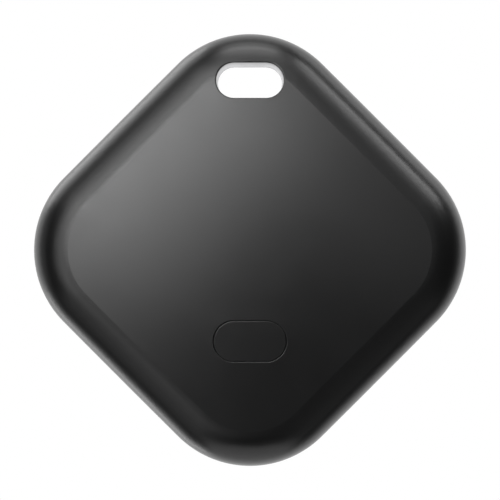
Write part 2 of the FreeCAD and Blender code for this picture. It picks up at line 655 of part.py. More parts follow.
def front_shell():
    body = new_body("front_shell")
    domed_block(body, "0", "block")
    parting = value("Sizes.parting_height")
    round_edges(body, lambda e: level(e, parting), "Sizes.seam_bevel", "seam", "Chamfer")
    hollow = body.newObject("PartDesign::Boolean", "hollow")
    hollow.Type = "Cut"
    hollow.setObjects([front_cavity()])
    doc.recompute()
    rabbet = case_ring_sketch(
        body, "rabbet_plan", "Sizes.parting_height", RABBET_INSET, "Sizes.wall + Sizes.seal_height"
    )
    cut_pocket(body, rabbet, "Sizes.tongue_height + Sizes.seal_height", "rabbet")
    up = THICKNESS
    slot = slot_sketch(body, "slot_plan", "Sizes.parting_height")
    cut_pocket(body, slot, up, "slot")
    mouth = value(SLOT_RISE)
    reach = value("Sizes.slot_length / 2") + PICK
    half = value("Sizes.slot_width / 2") + PICK
    face = value(LINER_FRONT)

    def on_mouth(edge):
        box = edge.BoundBox
        within = abs(box.Center.x) < reach and abs(box.Center.y - mouth) < half
        return within and box.ZMin > face and box.DiagonalLength > SHORT_EDGE

    round_edges(body, on_mouth, "Sizes.slot_edge", "slot_mouth")
    seat = slot_sketch(
        body, "liner_seat_plan", "Sizes.parting_height", "Sizes.liner_wall + Sizes.fit_gap"
    )
    cut_pocket(body, seat, f"{LINER_FRONT} - Sizes.parting_height", "liner_seat")
    opening = button_sketch(body, "button_opening_plan", FLANGE_REAR, "Sizes.button_gap")
    cut_pocket(body, opening, up, "button_opening")
    middle = -value("Sizes.button_drop")
    across = value("Sizes.button_length / 2") + PICK
    along = value("Sizes.button_width / 2") + PICK
    ceiling = value(BUTTON_CEILING) + PICK

    def on_button_opening(edge):
        box = edge.BoundBox
        within = abs(box.Center.x) < across and abs(box.Center.y - middle) < along
        return within and box.ZMin > ceiling and box.DiagonalLength > SHORT_EDGE

    round_edges(body, on_button_opening, "Sizes.button_edge", "button_opening_edge")
    bay = button_sketch(
        body, "flange_bay_plan", FLANGE_REAR, "Sizes.flange_reach + 2 * Sizes.fit_gap"
    )
    cut_pocket(body, bay, f"{BUTTON_CEILING} - {FLANGE_REAR}", "flange_bay")
    recess = button_sketch(
        body, "seal_recess_plan", "Sizes.parting_height", f"{LAND_REACH} + Sizes.fit_gap"
    )
    cut_pocket(body, recess, f"{FLANGE_REAR} - Sizes.parting_height", "seal_recess")
    for number, (x, y) in enumerate(boss_places(), 1):
        pilot = new_sketch(body, f"pilot_plan_{number}", BOSS_FOOT, x=x, y=y)
        draw_circle(pilot, "Sizes.screw_diameter / 2 + Sizes.thread_gap")
        depth = "Sizes.screw_length - Sizes.ear_thickness + Sizes.pilot_spare"
        cut_pocket(body, pilot, depth, f"pilot_{number}")
    return stand_up(body)


def rear_shell():
    body = new_body("rear_shell")
    outline = case_sketch(body, "block_plan", "0")
    add_pad(body, outline, "Sizes.parting_height", "block")
    round_edges(body, lambda e: level(e, 0), "Sizes.rear_rounding", "rear_rounding")
    parting = value("Sizes.parting_height")
    round_edges(body, lambda e: level(e, parting), "Sizes.seam_bevel", "seam", "Chamfer")
    hollow = body.newObject("PartDesign::Boolean", "hollow")
    hollow.Type = "Cut"
    hollow.setObjects([rear_cavity()])
    doc.recompute()
    tongue = case_ring_sketch(
        body,
        "tongue_plan",
        "Sizes.parting_height - Sizes.tongue_root",
        f"{RABBET_INSET} + Sizes.fit_gap",
        "Sizes.wall",
    )
    add_pad(body, tongue, "Sizes.tongue_height + Sizes.tongue_root", "tongue")
    slot = slot_sketch(body, "slot_plan", "0", f"-{LINER_NARROWING}")
    cut_pocket(body, slot, "Sizes.parting_height", "slot")
    mouth = value(SLOT_RISE)

    def on_mouth(edge):
        return level(edge, 0) and abs(edge.BoundBox.Center.y - mouth) < value("Sizes.slot_width")

    round_edges(body, on_mouth, "Sizes.slot_edge", "slot_mouth")
    seat = slot_sketch(
        body, "liner_seat_plan", "Sizes.slot_lip", "Sizes.liner_wall + Sizes.fit_gap"
    )
    cut_pocket(body, seat, "Sizes.parting_height", "liner_seat")
    recess = new_sketch(body, "door_recess_plan", "0")
    draw_circle(recess, RECESS_RADIUS)
    cut_pocket(body, recess, LEDGE_FLOOR, "door_recess")
    throat = new_sketch(body, "throat_plan", LEDGE_FLOOR)
    draw_circle(throat, f"{PLUG_OUTER} + 2 * Sizes.fit_gap")
    cut_pocket(body, throat, "Sizes.lug_height", "throat")
    well = new_sketch(body, "well_plan", LEDGE_TOP)
    draw_circle(well, f"{NOTCH_OUTER} + Sizes.notch_gap")
    cut_pocket(body, well, "Sizes.parting_height", "well")
    notch = new_sketch(body, "notch_plan", LEDGE_FLOOR)
    notch_angle = "Sizes.lug_angle + 2 * Sizes.notch_play"
    draw_sector(notch, f"{PLUG_OUTER} - {OVERLAP}", NOTCH_OUTER, notch_angle)
    pocket = cut_pocket(body, notch, "Sizes.lug_height", "notch")
    pattern_about_axis(body, pocket, 3, "notches")
    beside_lug = "(Sizes.lug_angle / 2 + Sizes.stop_play + Sizes.stop_angle / 2)"
    stops = (("locked_stop", f"Sizes.door_turn + {beside_lug}"), ("open_stop", f"-{beside_lug}"))
    for name, turn in stops:
        plan = new_sketch(body, f"{name}_plan", f"{LEDGE_TOP} - {OVERLAP}", turn=turn)
        inner, outer = f"{PLUG_OUTER} + 2 * Sizes.fit_gap", f"{NOTCH_OUTER} + {OVERLAP}"
        draw_sector(plan, inner, outer, "Sizes.stop_angle")
        rib = add_pad(body, plan, f"Sizes.lug_height + {OVERLAP}", name)
        pattern_about_axis(body, rib, 3, f"{name}s")
    for name, turn in (("locked_mark", "Sizes.door_turn"), ("open_mark", "0")):
        mark = new_sketch(body, f"{name}_plan", "0", *mark_place(WELL_OUTER, turn))
        draw_circle(mark, "Sizes.mark_diameter / 2")
        cut_pocket(body, mark, "Sizes.mark_depth", name)
    return stand_up(body)


def mark_place(radius, turn):
    """The y and x of a round mark on the back. A door mark turned to 0 degrees is at the top."""
    return (f"({radius}) * cos({turn} * 1deg)", f"-({radius}) * sin({turn} * 1deg)")


def rear_cavity():
    """The space inside the rear shell, less the battery well and the slot's tube."""
    body = new_body("rear_cavity")
    outline = case_sketch(body, "space_plan", "Sizes.wall", "Sizes.wall")
    add_pad(body, outline, "Sizes.parting_height", "space")
    floor = value("Sizes.wall")
    rounding = "Sizes.rear_rounding - Sizes.wall"
    round_edges(body, lambda e: level(e, floor), rounding, "space_rounding")
    well = new_sketch(body, "well_plan", "Sizes.wall")
    draw_circle(well, WELL_OUTER)
    cut_pocket(body, well, THICKNESS, "well_wall")
    tube = slot_sketch(body, "tube_plan", "Sizes.wall", TUBE_GROWTH)
    cut_pocket(body, tube, THICKNESS, "slot_tube")
    return body


def seam_seal():
    """Silicone ring between the rear shell's tongue and the front shell."""
    body = new_body("seam_seal")
    floor = "Sizes.parting_height + Sizes.tongue_height"
    plan = case_ring_sketch(
        body, "ring_plan", floor, f"{RABBET_INSET} + Sizes.fit_gap", "Sizes.wall"
    )
    add_pad(body, plan, "Sizes.seal_height", "ring")
    return stand_up(body)


def slot_liner():
    """Metal sleeve of the key-ring slot, a little narrower at the back."""
    body = new_body("slot_liner")
    outside = slot_sketch(body, "outside_plan", "Sizes.slot_lip", "Sizes.liner_wall")
    height = f"{LINER_FRONT} - Sizes.slot_lip"
    add_pad(body, outside, height, "sleeve")
    bore = slot_sketch(body, "bore_plan", "Sizes.slot_lip", f"-{LINER_NARROWING}")
    cut_pocket(body, bore, height, "bore", "Sizes.liner_draft")
    return stand_up(body)


# ---------------------------------------------------------------- button and switch


def button_cap():
    body = new_body("button_cap")
    face = button_sketch(body, "face_plan", FLANGE_REAR)
    add_pad(body, face, f"{THICKNESS} + {SPARE} - {FLANGE_REAR}", "face")
    trim_to_dome(body)
    low = value(FLANGE_TOP) + PICK
    round_edges(body, lambda e: e.BoundBox.ZMin > low, "Sizes.button_edge", "edge")
    flange = button_sketch(body, "flange_plan", FLANGE_REAR, "Sizes.flange_reach")
    add_pad(body, flange, "Sizes.flange_height", "flange")
    return stand_up(body)


def button_seal():
    """Silicone sheet that keeps water out and pushes the button back."""
    body = new_body("button_seal")
    plan = button_sketch(body, "sheet_plan", MEMBRANE_REAR, LAND_REACH)
    add_pad(body, plan, "Sizes.membrane", "sheet")
    return stand_up(body)


def switch_plate(label, height, z):
    return new_box(label, "Sizes.switch_length", "Sizes.switch_width", height, z, y=SWITCH_Y)


def switch_base():
    block = switch_plate("switch_block", "Sizes.switch_height - Sizes.switch_floor", BOARD_FRONT)
    radius = "Sizes.dome_diameter / 2 + Sizes.switch_gap"
    bay = new_cylinder("switch_bay", radius, "Sizes.switch_height", SWITCH_FLOOR, y=SWITCH_Y)
    return stand_up(subtract("switch_base", block, bay))


def switch_cover():
    plate = switch_plate("cover_plate", "Sizes.switch_floor", COVER_REAR)
    radius = "Sizes.dome_diameter / 2 - Sizes.post_inset + Sizes.post_gap"
    hole = new_cylinder("cover_hole", radius, "Sizes.switch_height", SWITCH_FLOOR, y=SWITCH_Y)
    return stand_up(subtract("switch_cover", plate, hole))


def switch_plunger():
    rear = f"({SWITCH_FLOOR} + Sizes.button_travel + 2 * Sizes.touch_gap)"
    rim = "Sizes.dome_diameter / 2"
    collar_height = f"{COVER_REAR} - Sizes.touch_gap - {rear}"
    collar = new_cylinder(
        "plunger_collar", f"{rim} - Sizes.fit_gap", collar_height, rear, y=SWITCH_Y
    )
    height = f"{MEMBRANE_REAR} - 2 * Sizes.touch_gap - {rear}"
    post = new_cylinder("plunger_post", f"{rim} - Sizes.post_inset", height, rear, y=SWITCH_Y)
    return stand_up(unite("switch_plunger", [collar, post]))


def switch_dome():
    """Thin steel cap whose snap is felt through the button: a slice of a hollow sphere."""
    body = new_body("switch_dome")
    sketch = body.newObject("Sketcher::SketchObject", "dome_section")
    sketch.AttachmentSupport = [(plane(body, "XZ_Plane"), "")]
    sketch.MapMode = "FlatFace"
    floor_height = f"({SWITCH_FLOOR} + Sizes.touch_gap)"
    rise = "(Sizes.button_travel - 4 * Sizes.touch_gap - Sizes.dome_sheet)"
    inner_radius = f"(((Sizes.dome_diameter / 2)^2 + {rise}^2) / (2 * {rise}))"
    span, floor, inner = value("Sizes.dome_diameter / 2"), value(floor_height), value(inner_radius)
    centre = floor + value(rise) - inner
    outer = inner + value("Sizes.dome_sheet")
    foot_angle = math.degrees(math.acos(span / inner))
    outside = add_arc(sketch, 0, centre, outer, foot_angle, 90)
    inside = add_arc(sketch, 0, centre, inner, foot_angle, 90)
    foot_end = (span * outer / inner, centre + (floor - centre) * outer / inner)
    foot = add_line(sketch, (span, floor), foot_end)
    axis = add_line(sketch, (0, centre + inner), (0, centre + outer))
    constrain(
        sketch,
        ("Coincident", foot, 1, inside, 1),
        ("Coincident", foot, 2, outside, 1),
        ("Coincident", axis, 1, inside, 2),
        ("Coincident", axis, 2, outside, 2),
        ("Coincident", inside, 3, outside, 3),
        ("PointOnObject", inside, 3, -2),
        ("PointOnObject", inside, 2, -2),
        ("PointOnObject", outside, 2, -2),
        ("PointOnObject", inside, 3, foot),
    )
    dimension(sketch, "inner_radius", inner_radius, "Radius", inside)
    dimension(sketch, "outer_radius", f"{inner_radius} + Sizes.dome_sheet", "Radius", outside)
    dimension(sketch, "summit", f"{floor_height} + {rise}", "DistanceY", -1, 1, inside, 2)
    dimension(sketch, "floor", floor_height, "DistanceY", -1, 1, inside, 1)
    turned = body.newObject("PartDesign::Revolution", "dome")
    turned.Profile = sketch
    turned.ReferenceAxis = (sketch, ["V_Axis"])
    turned.Angle = 360
    doc.recompute()
    stand_up(body)
    body.setExpression("Placement.Base.z", f"-{SLOT_RISE} - Sizes.button_drop")
    return body


# ---------------------------------------------------------------- battery door and coin cell


def battery_door():
    body = new_body("battery_door")
    disc = new_sketch(body, "disc_plan", "0")
    draw_circle(disc, DOOR_RADIUS)
    add_pad(body, disc, "Sizes.door_thickness", "disc")
    round_edges(body, lambda e: level(e, 0), "Sizes.door_edge", "rim")
    plug = new_sketch(body, "plug_plan", "Sizes.door_thickness")
    draw_circle(plug, PLUG_OUTER, "outer")
    draw_circle(plug, PLUG_INNER, "inner")
    add_pad(body, plug, f"{LUG_FLOOR} + Sizes.lug_height - Sizes.door_thickness", "plug")
    lug = new_sketch(body, "lug_plan", LUG_FLOOR, turn="Sizes.door_turn")
    draw_sector(lug, f"{PLUG_OUTER} - {OVERLAP}", LUG_OUTER, "Sizes.lug_angle")
    first = add_pad(body, lug, "Sizes.lug_height", "lug")
    pattern_about_axis(body, first, 3, "lugs")
    groove = new_sketch(body, "ring_groove_plan", f"{LEDGE_FLOOR} - Sizes.ring_section")
    draw_circle(groove, f"{RING_RADIUS} + Sizes.ring_section / 2", "outer")
    draw_circle(groove, f"{RING_RADIUS} - Sizes.ring_section / 2", "inner")
    cut_pocket(body, groove, "Sizes.ring_section", "ring_groove")
    coin = new_sketch(body, "coin_slot_plan", "0")
    draw_stadium(coin, "Sizes.coin_slot_length", "Sizes.coin_slot_width")
    cut_pocket(body, coin, "Sizes.coin_slot_depth", "coin_slot")
    inside = value("Sizes.coin_slot_length / 2") + PICK
    round_edges(
        body,
        lambda e: level(e, 0) and e.BoundBox.XMax < inside and e.BoundBox.XMin > -inside,
        "Sizes.coin_slot_edge",
        "coin_slot_rounding",
    )
    y, x = mark_place(f"{DOOR_RADIUS} - Sizes.mark_inset", "Sizes.door_turn")
    mark = new_sketch(body, "mark_plan", "0", y=y, x=x)
    draw_circle(mark, "Sizes.mark_diameter / 2")
    cut_pocket(body, mark, "Sizes.mark_depth", "mark")
    return stand_up(body)


def door_seal_ring():
    """O-ring between the door and the rear shell, drawn as it is when the door is shut."""
    ring = doc.addObject("Part::Torus", "door_ring_torus")
    ring.setExpression("Radius1", RING_RADIUS)
    ring.setExpression("Radius2", "Sizes.ring_section / 2")
    ring.setExpression("Placement.Base.z", f"{LEDGE_FLOOR} - Sizes.ring_section / 2")
    return stand_up(group("door_seal_ring_group", [ring]), "door_seal_ring")


def door_foam_pad():
    radius = f"{CELL_RADIUS} - Sizes.pad_inset"
    pad = new_cylinder("foam_disc", radius, "Sizes.pad_thickness", "Sizes.door_thickness")
    return stand_up(group("foam_group", [pad]), "door_foam_pad")


def cell_can():
    """Positive steel can of the coin cell, folded in over the seal towards the board."""
    outside = new_cylinder("can_outside", CELL_RADIUS, CAN_HEIGHT, CELL_FLOOR)
    floor = value(CELL_FLOOR)
    rounded = round_part("can_rounded", outside, "Sizes.cell_edge", lambda e: level(e, floor))
    height = f"{CAN_HEIGHT} - 2 * Sizes.can_sheet"
    inside = new_cylinder("can_inside", f"{CELL_RADIUS} - Sizes.can_sheet", height, CAN_INSIDE)
    mouth = new_cylinder("can_mouth", CRIMP_RADIUS, CAN_HEIGHT, CAN_INSIDE)
    return stand_up(subtract("cell_can", rounded, unite("can_space", [inside, mouth])))


def cell_seal():
    """Nylon ring that keeps the can and the cap apart."""
    height = f"({CAN_HEIGHT} - 2 * Sizes.can_sheet)"
    tube = new_cylinder("seal_tube", f"{CELL_RADIUS} - Sizes.can_sheet", height, CAN_INSIDE)
    lip = new_cylinder("seal_lip", CRIMP_RADIUS, f"{height} + Sizes.can_sheet", CAN_INSIDE)
    bore = f"{CELL_RADIUS} - Sizes.cap_inset + Sizes.fit_gap"
    hole = new_cylinder("seal_hole", bore, "Sizes.cell_height", CELL_FLOOR)
    return stand_up(subtract("cell_seal", unite("seal_blank", [tube, lip]), hole))


def cell_cap():
    """Negative steel cap, facing the board."""
    radius, rear = f"({CELL_RADIUS} - Sizes.cap_inset)", f"({CAN_INSIDE} + Sizes.cap_gap)"
    outside = new_cylinder("cap_outside", radius, f"{CELL_TOP} - {rear}", rear)
    top = value(CELL_TOP)
    rounded = round_part("cap_rounded", outside, "Sizes.cell_edge", lambda e: level(e, top))
    height = f"{CELL_TOP} - {rear} - Sizes.can_sheet"
    inside = new_cylinder("cap_inside", f"{radius} - Sizes.can_sheet", height, rear)
    return stand_up(subtract("cell_cap", rounded, inside))


def cell_fillings():
    """The manganese dioxide pellet and the lithium disc inside the cell, with the separator's space."""
    radius = f"{CELL_RADIUS} - Sizes.filling_inset"
    rear = f"({CELL_TOP} - Sizes.can_sheet - Sizes.lithium_height)"
    height = f"{rear} - Sizes.separator_space - {CAN_INSIDE}"
    pellet = new_cylinder("pellet", radius, height, CAN_INSIDE)
    stand_up(group("pellet_group", [pellet]), "cell_cathode")
    lithium = new_cylinder("lithium", radius, "Sizes.lithium_height", rear)
    stand_up(group("lithium_group", [lithium]), "cell_lithium")


# ---------------------------------------------------------------- frame, board and contacts


def cell_frame():
    """Plastic ring round the cell that clamps the board against the front shell's bosses."""
    body = new_body("cell_frame")
    floor = "(Sizes.parting_height + Sizes.fit_gap)"
    inner = "Sizes.cell_diameter / 2 + Sizes.cell_clearance / 2"
    ring = new_sketch(body, "ring_plan", floor)
    draw_circle(ring, f"{inner} + Sizes.frame_wall", "outer")
    draw_circle(ring, inner, "inner")
    add_pad(body, ring, f"{BOARD_REAR} - {floor}", "ring")
    start = f"({inner} + Sizes.frame_wall / 2)"
    for number, (x, y) in enumerate(boss_places(), 1):
        angle = ("180", "0", "270")[number - 1]
        arm = new_sketch(
            body,
            f"arm_plan_{number}",
            EAR_FLOOR,
            x=f"({start} + {BOSS_REACH}) / 2 * cos({angle}deg)",
            y=f"({start} + {BOSS_REACH}) / 2 * sin({angle}deg)",
            turn=angle,
        )
        draw_rectangle(arm, f"{BOSS_REACH} - {start}", "Sizes.boss_shoulder")
        add_pad(body, arm, "Sizes.ear_thickness", f"arm_{number}")
        ear = new_sketch(body, f"ear_plan_{number}", EAR_FLOOR, x=x, y=y)
        draw_circle(ear, "Sizes.boss_shoulder / 2")
        add_pad(body, ear, "Sizes.ear_thickness", f"ear_{number}")
    for number, (x, y) in enumerate(boss_places(), 1):
        hole = new_sketch(body, f"ear_hole_plan_{number}", EAR_FLOOR, x=x, y=y)
        draw_circle(hole, "Sizes.screw_diameter / 2 + Sizes.ear_hole_gap")
        cut_pocket(body, hole, "Sizes.ear_thickness", f"ear_hole_{number}")
    window = new_sketch(body, "contact_window_plan", f"{BOARD_REAR} - Sizes.clip_height - Sizes.fit_gap")
    draw_rectangle(window, "Sizes.case_side", "Sizes.clip_width + 2 * Sizes.clip_gap")
    cut_pocket(body, window, THICKNESS, "contact_windows")
    return stand_up(body)


def main_board():
    body = new_body("main_board")
    plan = case_sketch(body, "board_plan", BOARD_REAR, BOARD_INSET)
    add_pad(body, plan, "Sizes.board_thickness", "board")
    edge = f"({SLOT_RISE} - Sizes.slot_width / 2 - {TUBE_GROWTH} - Sizes.board_gap)"
    trim = new_sketch(body, "slot_side_plan", BOARD_REAR, y=f"{edge} + Sizes.case_side / 2")
    draw_rectangle(trim, "Sizes.case_side", "Sizes.case_side")
    cut_pocket(body, trim, "Sizes.board_thickness", "slot_side")
    for number, (x, y) in enumerate(boss_places(), 1):
        hole = new_sketch(body, f"boss_hole_plan_{number}", BOARD_REAR, x=x, y=y)
        draw_circle(hole, "Sizes.boss_diameter / 2 + Sizes.ear_hole_gap")
        cut_pocket(body, hole, "Sizes.board_thickness", f"boss_hole_{number}")
    return stand_up(body)


def frame_screws():
    """Three cross-head screws through the frame's ears into the bosses."""
    screws = []
    rear = f"({EAR_FLOOR} - Sizes.head_height)"
    level_of_head = value(rear)
    blade = ("Sizes.drive_length", "Sizes.drive_width", "Sizes.drive_depth")
    for number, (x, y) in enumerate(boss_places(), 1):
        radius = "Sizes.screw_diameter / 2"
        shank = new_cylinder(f"shank_{number}", radius, "Sizes.screw_length", EAR_FLOOR, x, y)
        radius = "Sizes.head_diameter / 2"
        head = new_cylinder(f"head_{number}", radius, "Sizes.head_height", rear, x, y)
        rounded = round_part(
            f"head_rounded_{number}", head, "Sizes.head_edge", lambda e: level(e, level_of_head)
        )
        blades = [new_box(f"blade_{number}_{turn}", *blade, rear, x, y, turn) for turn in (0, 90)]
        blank = unite(f"screw_blank_{number}", [shank, rounded])
        screws.append(subtract(f"screw_{number}", blank, unite(f"cross_{number}", blades)))
    return stand_up(group("frame_screws", screws))


def locate(sketch, name, geometry, point, place):
    """Fixes a point of the sketch at the expressions of place, measured from the sketch's origin."""
    for way, expression in zip(("X", "Y"), place):
        ends = (-1, 1, geometry, point)
        if value(expression) < 0:
            expression, ends = f"-({expression})", (geometry, point, -1, 1)
        dimension(sketch, f"{name}_{way.lower()}", expression, f"Distance{way}", *ends)


def strip_from_profile(label, points, width, x="0", y="0"):
    """A bent metal strip of even thickness: points along its middle line in X and Z."""
    body = new_body(label)
    sketch = body.newObject("Sketcher::SketchObject", "profile")
    sketch.AttachmentSupport = [(plane(body, "XZ_Plane"), "")]
    sketch.MapMode = "FlatFace"
    bends = [(value(a), value(b)) for a, b in points]
    runs = list(zip(bends, bends[1:]))
    middle = [add_line(sketch, *run) for run in runs]
    for line in middle:
        sketch.toggleConstruction(line)
    for before, after in zip(middle, middle[1:]):
        constrain(sketch, ("Coincident", before, 2, after, 1))
    for k, place in enumerate(points[:-1]):
        locate(sketch, f"bend_{k}", middle[k], 1, place)
    locate(sketch, "end", middle[-1], 2, points[-1])
    half = value("Sizes.strip_thickness") / 2
    faces = []
    for name, distance in (("front", half), ("back", -half)):
        edge = offset_line(bends, distance)
        face = [add_line(sketch, *run) for run in zip(edge, edge[1:])]
        for before, after in zip(face, face[1:]):
            constrain(sketch, ("Coincident", before, 2, after, 1))
        for k, line in enumerate(face):
            constrain(sketch, ("Parallel", middle[k], line))
            rule = ("Distance", middle[k], 1, line)
            dimension(sketch, f"{name}_{k}", "Sizes.strip_thickness / 2", *rule)
        faces.append(face)
    front, back = faces
    for run, point in ((0, 1), (-1, 2)):
        corners = [sketch.getPoint(face[run], point) for face in faces]
        cap = add_line(sketch, *((corner.x, corner.y) for corner in corners))
        constrain(
            sketch,
            ("Coincident", cap, 1, front[run], point),
            ("Coincident", cap, 2, back[run], point),
            ("Perpendicular", cap, middle[run]),
            ("PointOnObject", middle[run], point, cap),
        )
    pad = body.newObject("PartDesign::Pad", "strip")
    pad.Profile = sketch
    pad.Midplane = True
    pad.setExpression("Length", str(width))
    doc.recompute()
    body.setExpression("Placement.Base.x", str(x))
    body.setExpression("Placement.Base.y", str(y))
    return body


def offset_line(points, distance):
    """Points at an even distance beside a bent line, with mitred bends."""
    found = []
    for k, (x, z) in enumerate(points):
        before = points[max(k - 1, 0)]
        after = points[min(k + 1, len(points) - 1)]
        headings = [
            math.atan2(b[1] - a[1], b[0] - a[0])
            for a, b in ((before, (x, z)), ((x, z), after))
            if a != b
        ]
        normal = sum(headings) / len(headings) + math.pi / 2
        stretch = distance / math.cos((headings[-1] - headings[0]) / 2)
        found.append((x + stretch * math.cos(normal), z + stretch * math.sin(normal)))
    return found


def negative_contact():
    """Leaf spring between the board and the middle of the cell's cap."""
    foot = f"{BOARD_REAR} - Sizes.strip_thickness / 2"
    low = f"{CELL_TOP} + Sizes.strip_thickness / 2 + Sizes.touch_gap"
    toe = "Sizes.leaf_reach - Sizes.leaf_toe"
    heel = f"{toe} - Sizes.leaf_span"
    points = [
        (f"{heel} - Sizes.leaf_foot", foot),
        (heel, foot),
        (toe, low),
        ("Sizes.leaf_reach", f"{low} + 2 * Sizes.fit_gap"),
    ]
    strip = strip_from_profile("negative_leaf", points, "Sizes.leaf_width")
    return stand_up(group("negative_contact", [strip]))


def positive_contacts():
    """Two angled clips on the board that press on the side of the can."""
    side = f"({CELL_RADIUS} + 2 * Sizes.touch_gap + Sizes.strip_thickness / 2)"
    foot = f"{BOARD_REAR} - Sizes.strip_thickness / 2"
    clips = []
    for name, sign in (("right", ""), ("left", "-")):
        points = [
            (f"{sign}({side} + Sizes.clip_lean + Sizes.clip_foot)", foot),
            (f"{sign}({side} + Sizes.clip_lean)", foot),
            (f"{sign}{side}", f"{BOARD_REAR} - Sizes.clip_bow"),
            (f"{sign}({side} + Sizes.fit_gap)", f"{BOARD_REAR} - Sizes.clip_height"),
        ]
        clips.append(strip_from_profile(f"clip_{name}", points, "Sizes.clip_width"))
    return stand_up(group("positive_contacts", clips))


def buzzer():
    """Tape ring, brass plate and piezo ceramic, one behind the other."""
    y = "Sizes.buzzer_rise"
    rim = "Sizes.buzzer_diameter / 2"
    tape = new_cylinder("tape_disc", rim, "Sizes.tape_thickness", TAPE_REAR, y=y)
    inside = f"{rim} - Sizes.buzzer_seat"
    hole = new_cylinder("tape_hole", inside, "Sizes.tape_thickness", TAPE_REAR, y=y)
    stand_up(subtract("buzzer_tape", tape, hole))
    plate = new_cylinder("plate_disc", rim, "Sizes.buzzer_plate", PLATE_REAR, y=y)
    stand_up(group("plate_group", [plate]), "buzzer_plate")
    ceramic = new_cylinder(
        "ceramic_disc", "Sizes.ceramic_diameter / 2", "Sizes.ceramic_thickness", CERAMIC_REAR, y=y
    )
    stand_up(group("ceramic_group", [ceramic]), "buzzer_ceramic")


def buzzer_contacts():
    """Two leaf springs from the board, one to the ceramic and one to the brass plate."""
    leaves = []
    plate_x = "(Sizes.ceramic_diameter / 4 + Sizes.buzzer_diameter / 4)"
    touches = (("ceramic", "-Sizes.ceramic_touch", CERAMIC_REAR), ("plate", plate_x, PLATE_REAR))
    for name, x, top in touches:
        low = f"{BOARD_FRONT} + Sizes.strip_thickness / 2"
        high = f"{top} - Sizes.strip_thickness / 2 - Sizes.touch_gap"
        tip = f"{x} - Sizes.touch_length / 2"
        heel = f"{tip} - Sizes.touch_slope"
        points = [
            (f"{heel} - Sizes.touch_foot", low),
            (heel, low),
            (tip, high),
            (f"{x} + Sizes.touch_length / 2", high),
        ]
        strip = strip_from_profile(
            f"{name}_leaf", points, "Sizes.touch_width", y="Sizes.buzzer_rise"
        )
        strip.Placement.Rotation = FreeCAD.Rotation()
        leaves.append(strip)
    return stand_up(group("buzzer_contacts", leaves))


def board_parts():
    """Packages on the front of the board, as name, length, width, height, x, y and turn."""
    packages = [
        ("radio_chip", 4.0, 4.0, 0.5, -10.6, -3.4, 0),
        ("radio_crystal", 2.0, 1.6, 0.4, -9.9, -7.3, 0),
        ("clock_crystal", 2.0, 1.2, 0.45, -11.6, 1.0, 90),
        ("flash_memory", 3.0, 2.0, 0.45, 10.4, -3.0, 90),
        ("motion_sensor", 2.0, 2.0, 0.5, 11.6, 1.0, 0),
        ("buzzer_driver", 1.6, 1.6, 0.45, 8.0, 9.3, 0),
        ("boost_coil", 2.0, 1.6, 0.45, -8.2, 9.3, 45),
        ("bulk_capacitor", 3.2, 1.6, 0.5, 6.6, -8.4, 90),
        ("chip_antenna", 4.0, 1.2, 0.35, 9.6, -9.6, 45),
    ]
    for name, length, width, height, x, y, turn in packages:
        box = new_box(f"{name}_block", length, width, height, BOARD_FRONT, x, y, turn)
        rounded = round_part(f"{name}_rounded", box, "Sizes.package_edge", lambda e: True)
        stand_up(group(f"{name}_group", [rounded]), name)


def small_parts(label, height, places):
    """Identical chip parts, each at x, y and turn, on the front of the board."""
    boxes = [
        new_box(f"{label}_{n}", "Sizes.chip_length", "Sizes.chip_width", height, BOARD_FRONT, x, y, turn)
        for n, (x, y, turn) in enumerate(places, 1)
    ]
    return stand_up(group(label, boxes))


def capacitors_and_resistors():
    beside_chip = [(-7.7, y, 0) for y in (-5.2, -4.2)] + [(-13.4, y, 90) for y in (-2.6, -1.4)]
    beside_coil = [(-10.2, 6.6, 45), (-9.3, 7.5, 45), (5.9, 11.2, 0), (4.4, 11.2, 0)]
    beside_sensor = [(13.2, -1.2, 90), (12.2, -1.2, 90)]
    places = beside_chip + beside_coil + beside_sensor
    small_parts("ceramic_capacitors", "Sizes.capacitor_height", places)
    row = [(x, -12.6, 90) for x in (-4.5, -3.5, -2.5)]
    near_antenna = [(6.4, -11.4, 45), (7.2, -5.6, 0), (9.6, -5.6, 0)]
    near_driver = [(10.0, 7.6, 90), (-5.4, 11.2, 0)]
    small_parts("chip_resistors", "Sizes.resistor_height", row + near_antenna + near_driver)


# ---------------------------------------------------------------- build, check and write


def build_all():
    front_shell()
    rear_shell()
    seam_seal()
    slot_liner()
    button_cap()
    button_seal()
    switch_base()
    switch_cover()
    switch_plunger()
    switch_dome()
    battery_door()
    door_seal_ring()
    door_foam_pad()
    cell_can()
    cell_seal()
    cell_cap()
    cell_fillings()
    cell_frame()
    main_board()
    frame_screws()
    negative_contact()
    positive_contacts()
    buzzer()
    buzzer_contacts()
    board_parts()
    capacitors_and_resistors()
    doc.recompute()


def check_document():
    """Stops if any object has failed or any finished piece isn't made of sound solids."""
    failed = [o.Name for o in doc.Objects if {"Invalid", "Error"} & set(o.State)]
    if failed:
        raise RuntimeError(f"these objects failed: {failed}")
    for part in FINISHED:
        shape = part.Shape
        if shape.isNull() or not shape.isValid() or not shape.Solids:
            raise RuntimeError(f"{part.Label} has no valid solid")


def write_parts():
    os.makedirs("parts", exist_ok=True)
    for part in FINISHED:
        part.Shape.exportStep(f"parts/{part.Label}.step")
        print(f"{part.Label}: {part.Shape.Volume:.2f} mm3, {len(part.Shape.Solids)} solids")


build_all()
check_document()
write_parts()
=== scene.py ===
import json
import math

import bmesh
import bpy
from mathutils import Matrix, Vector


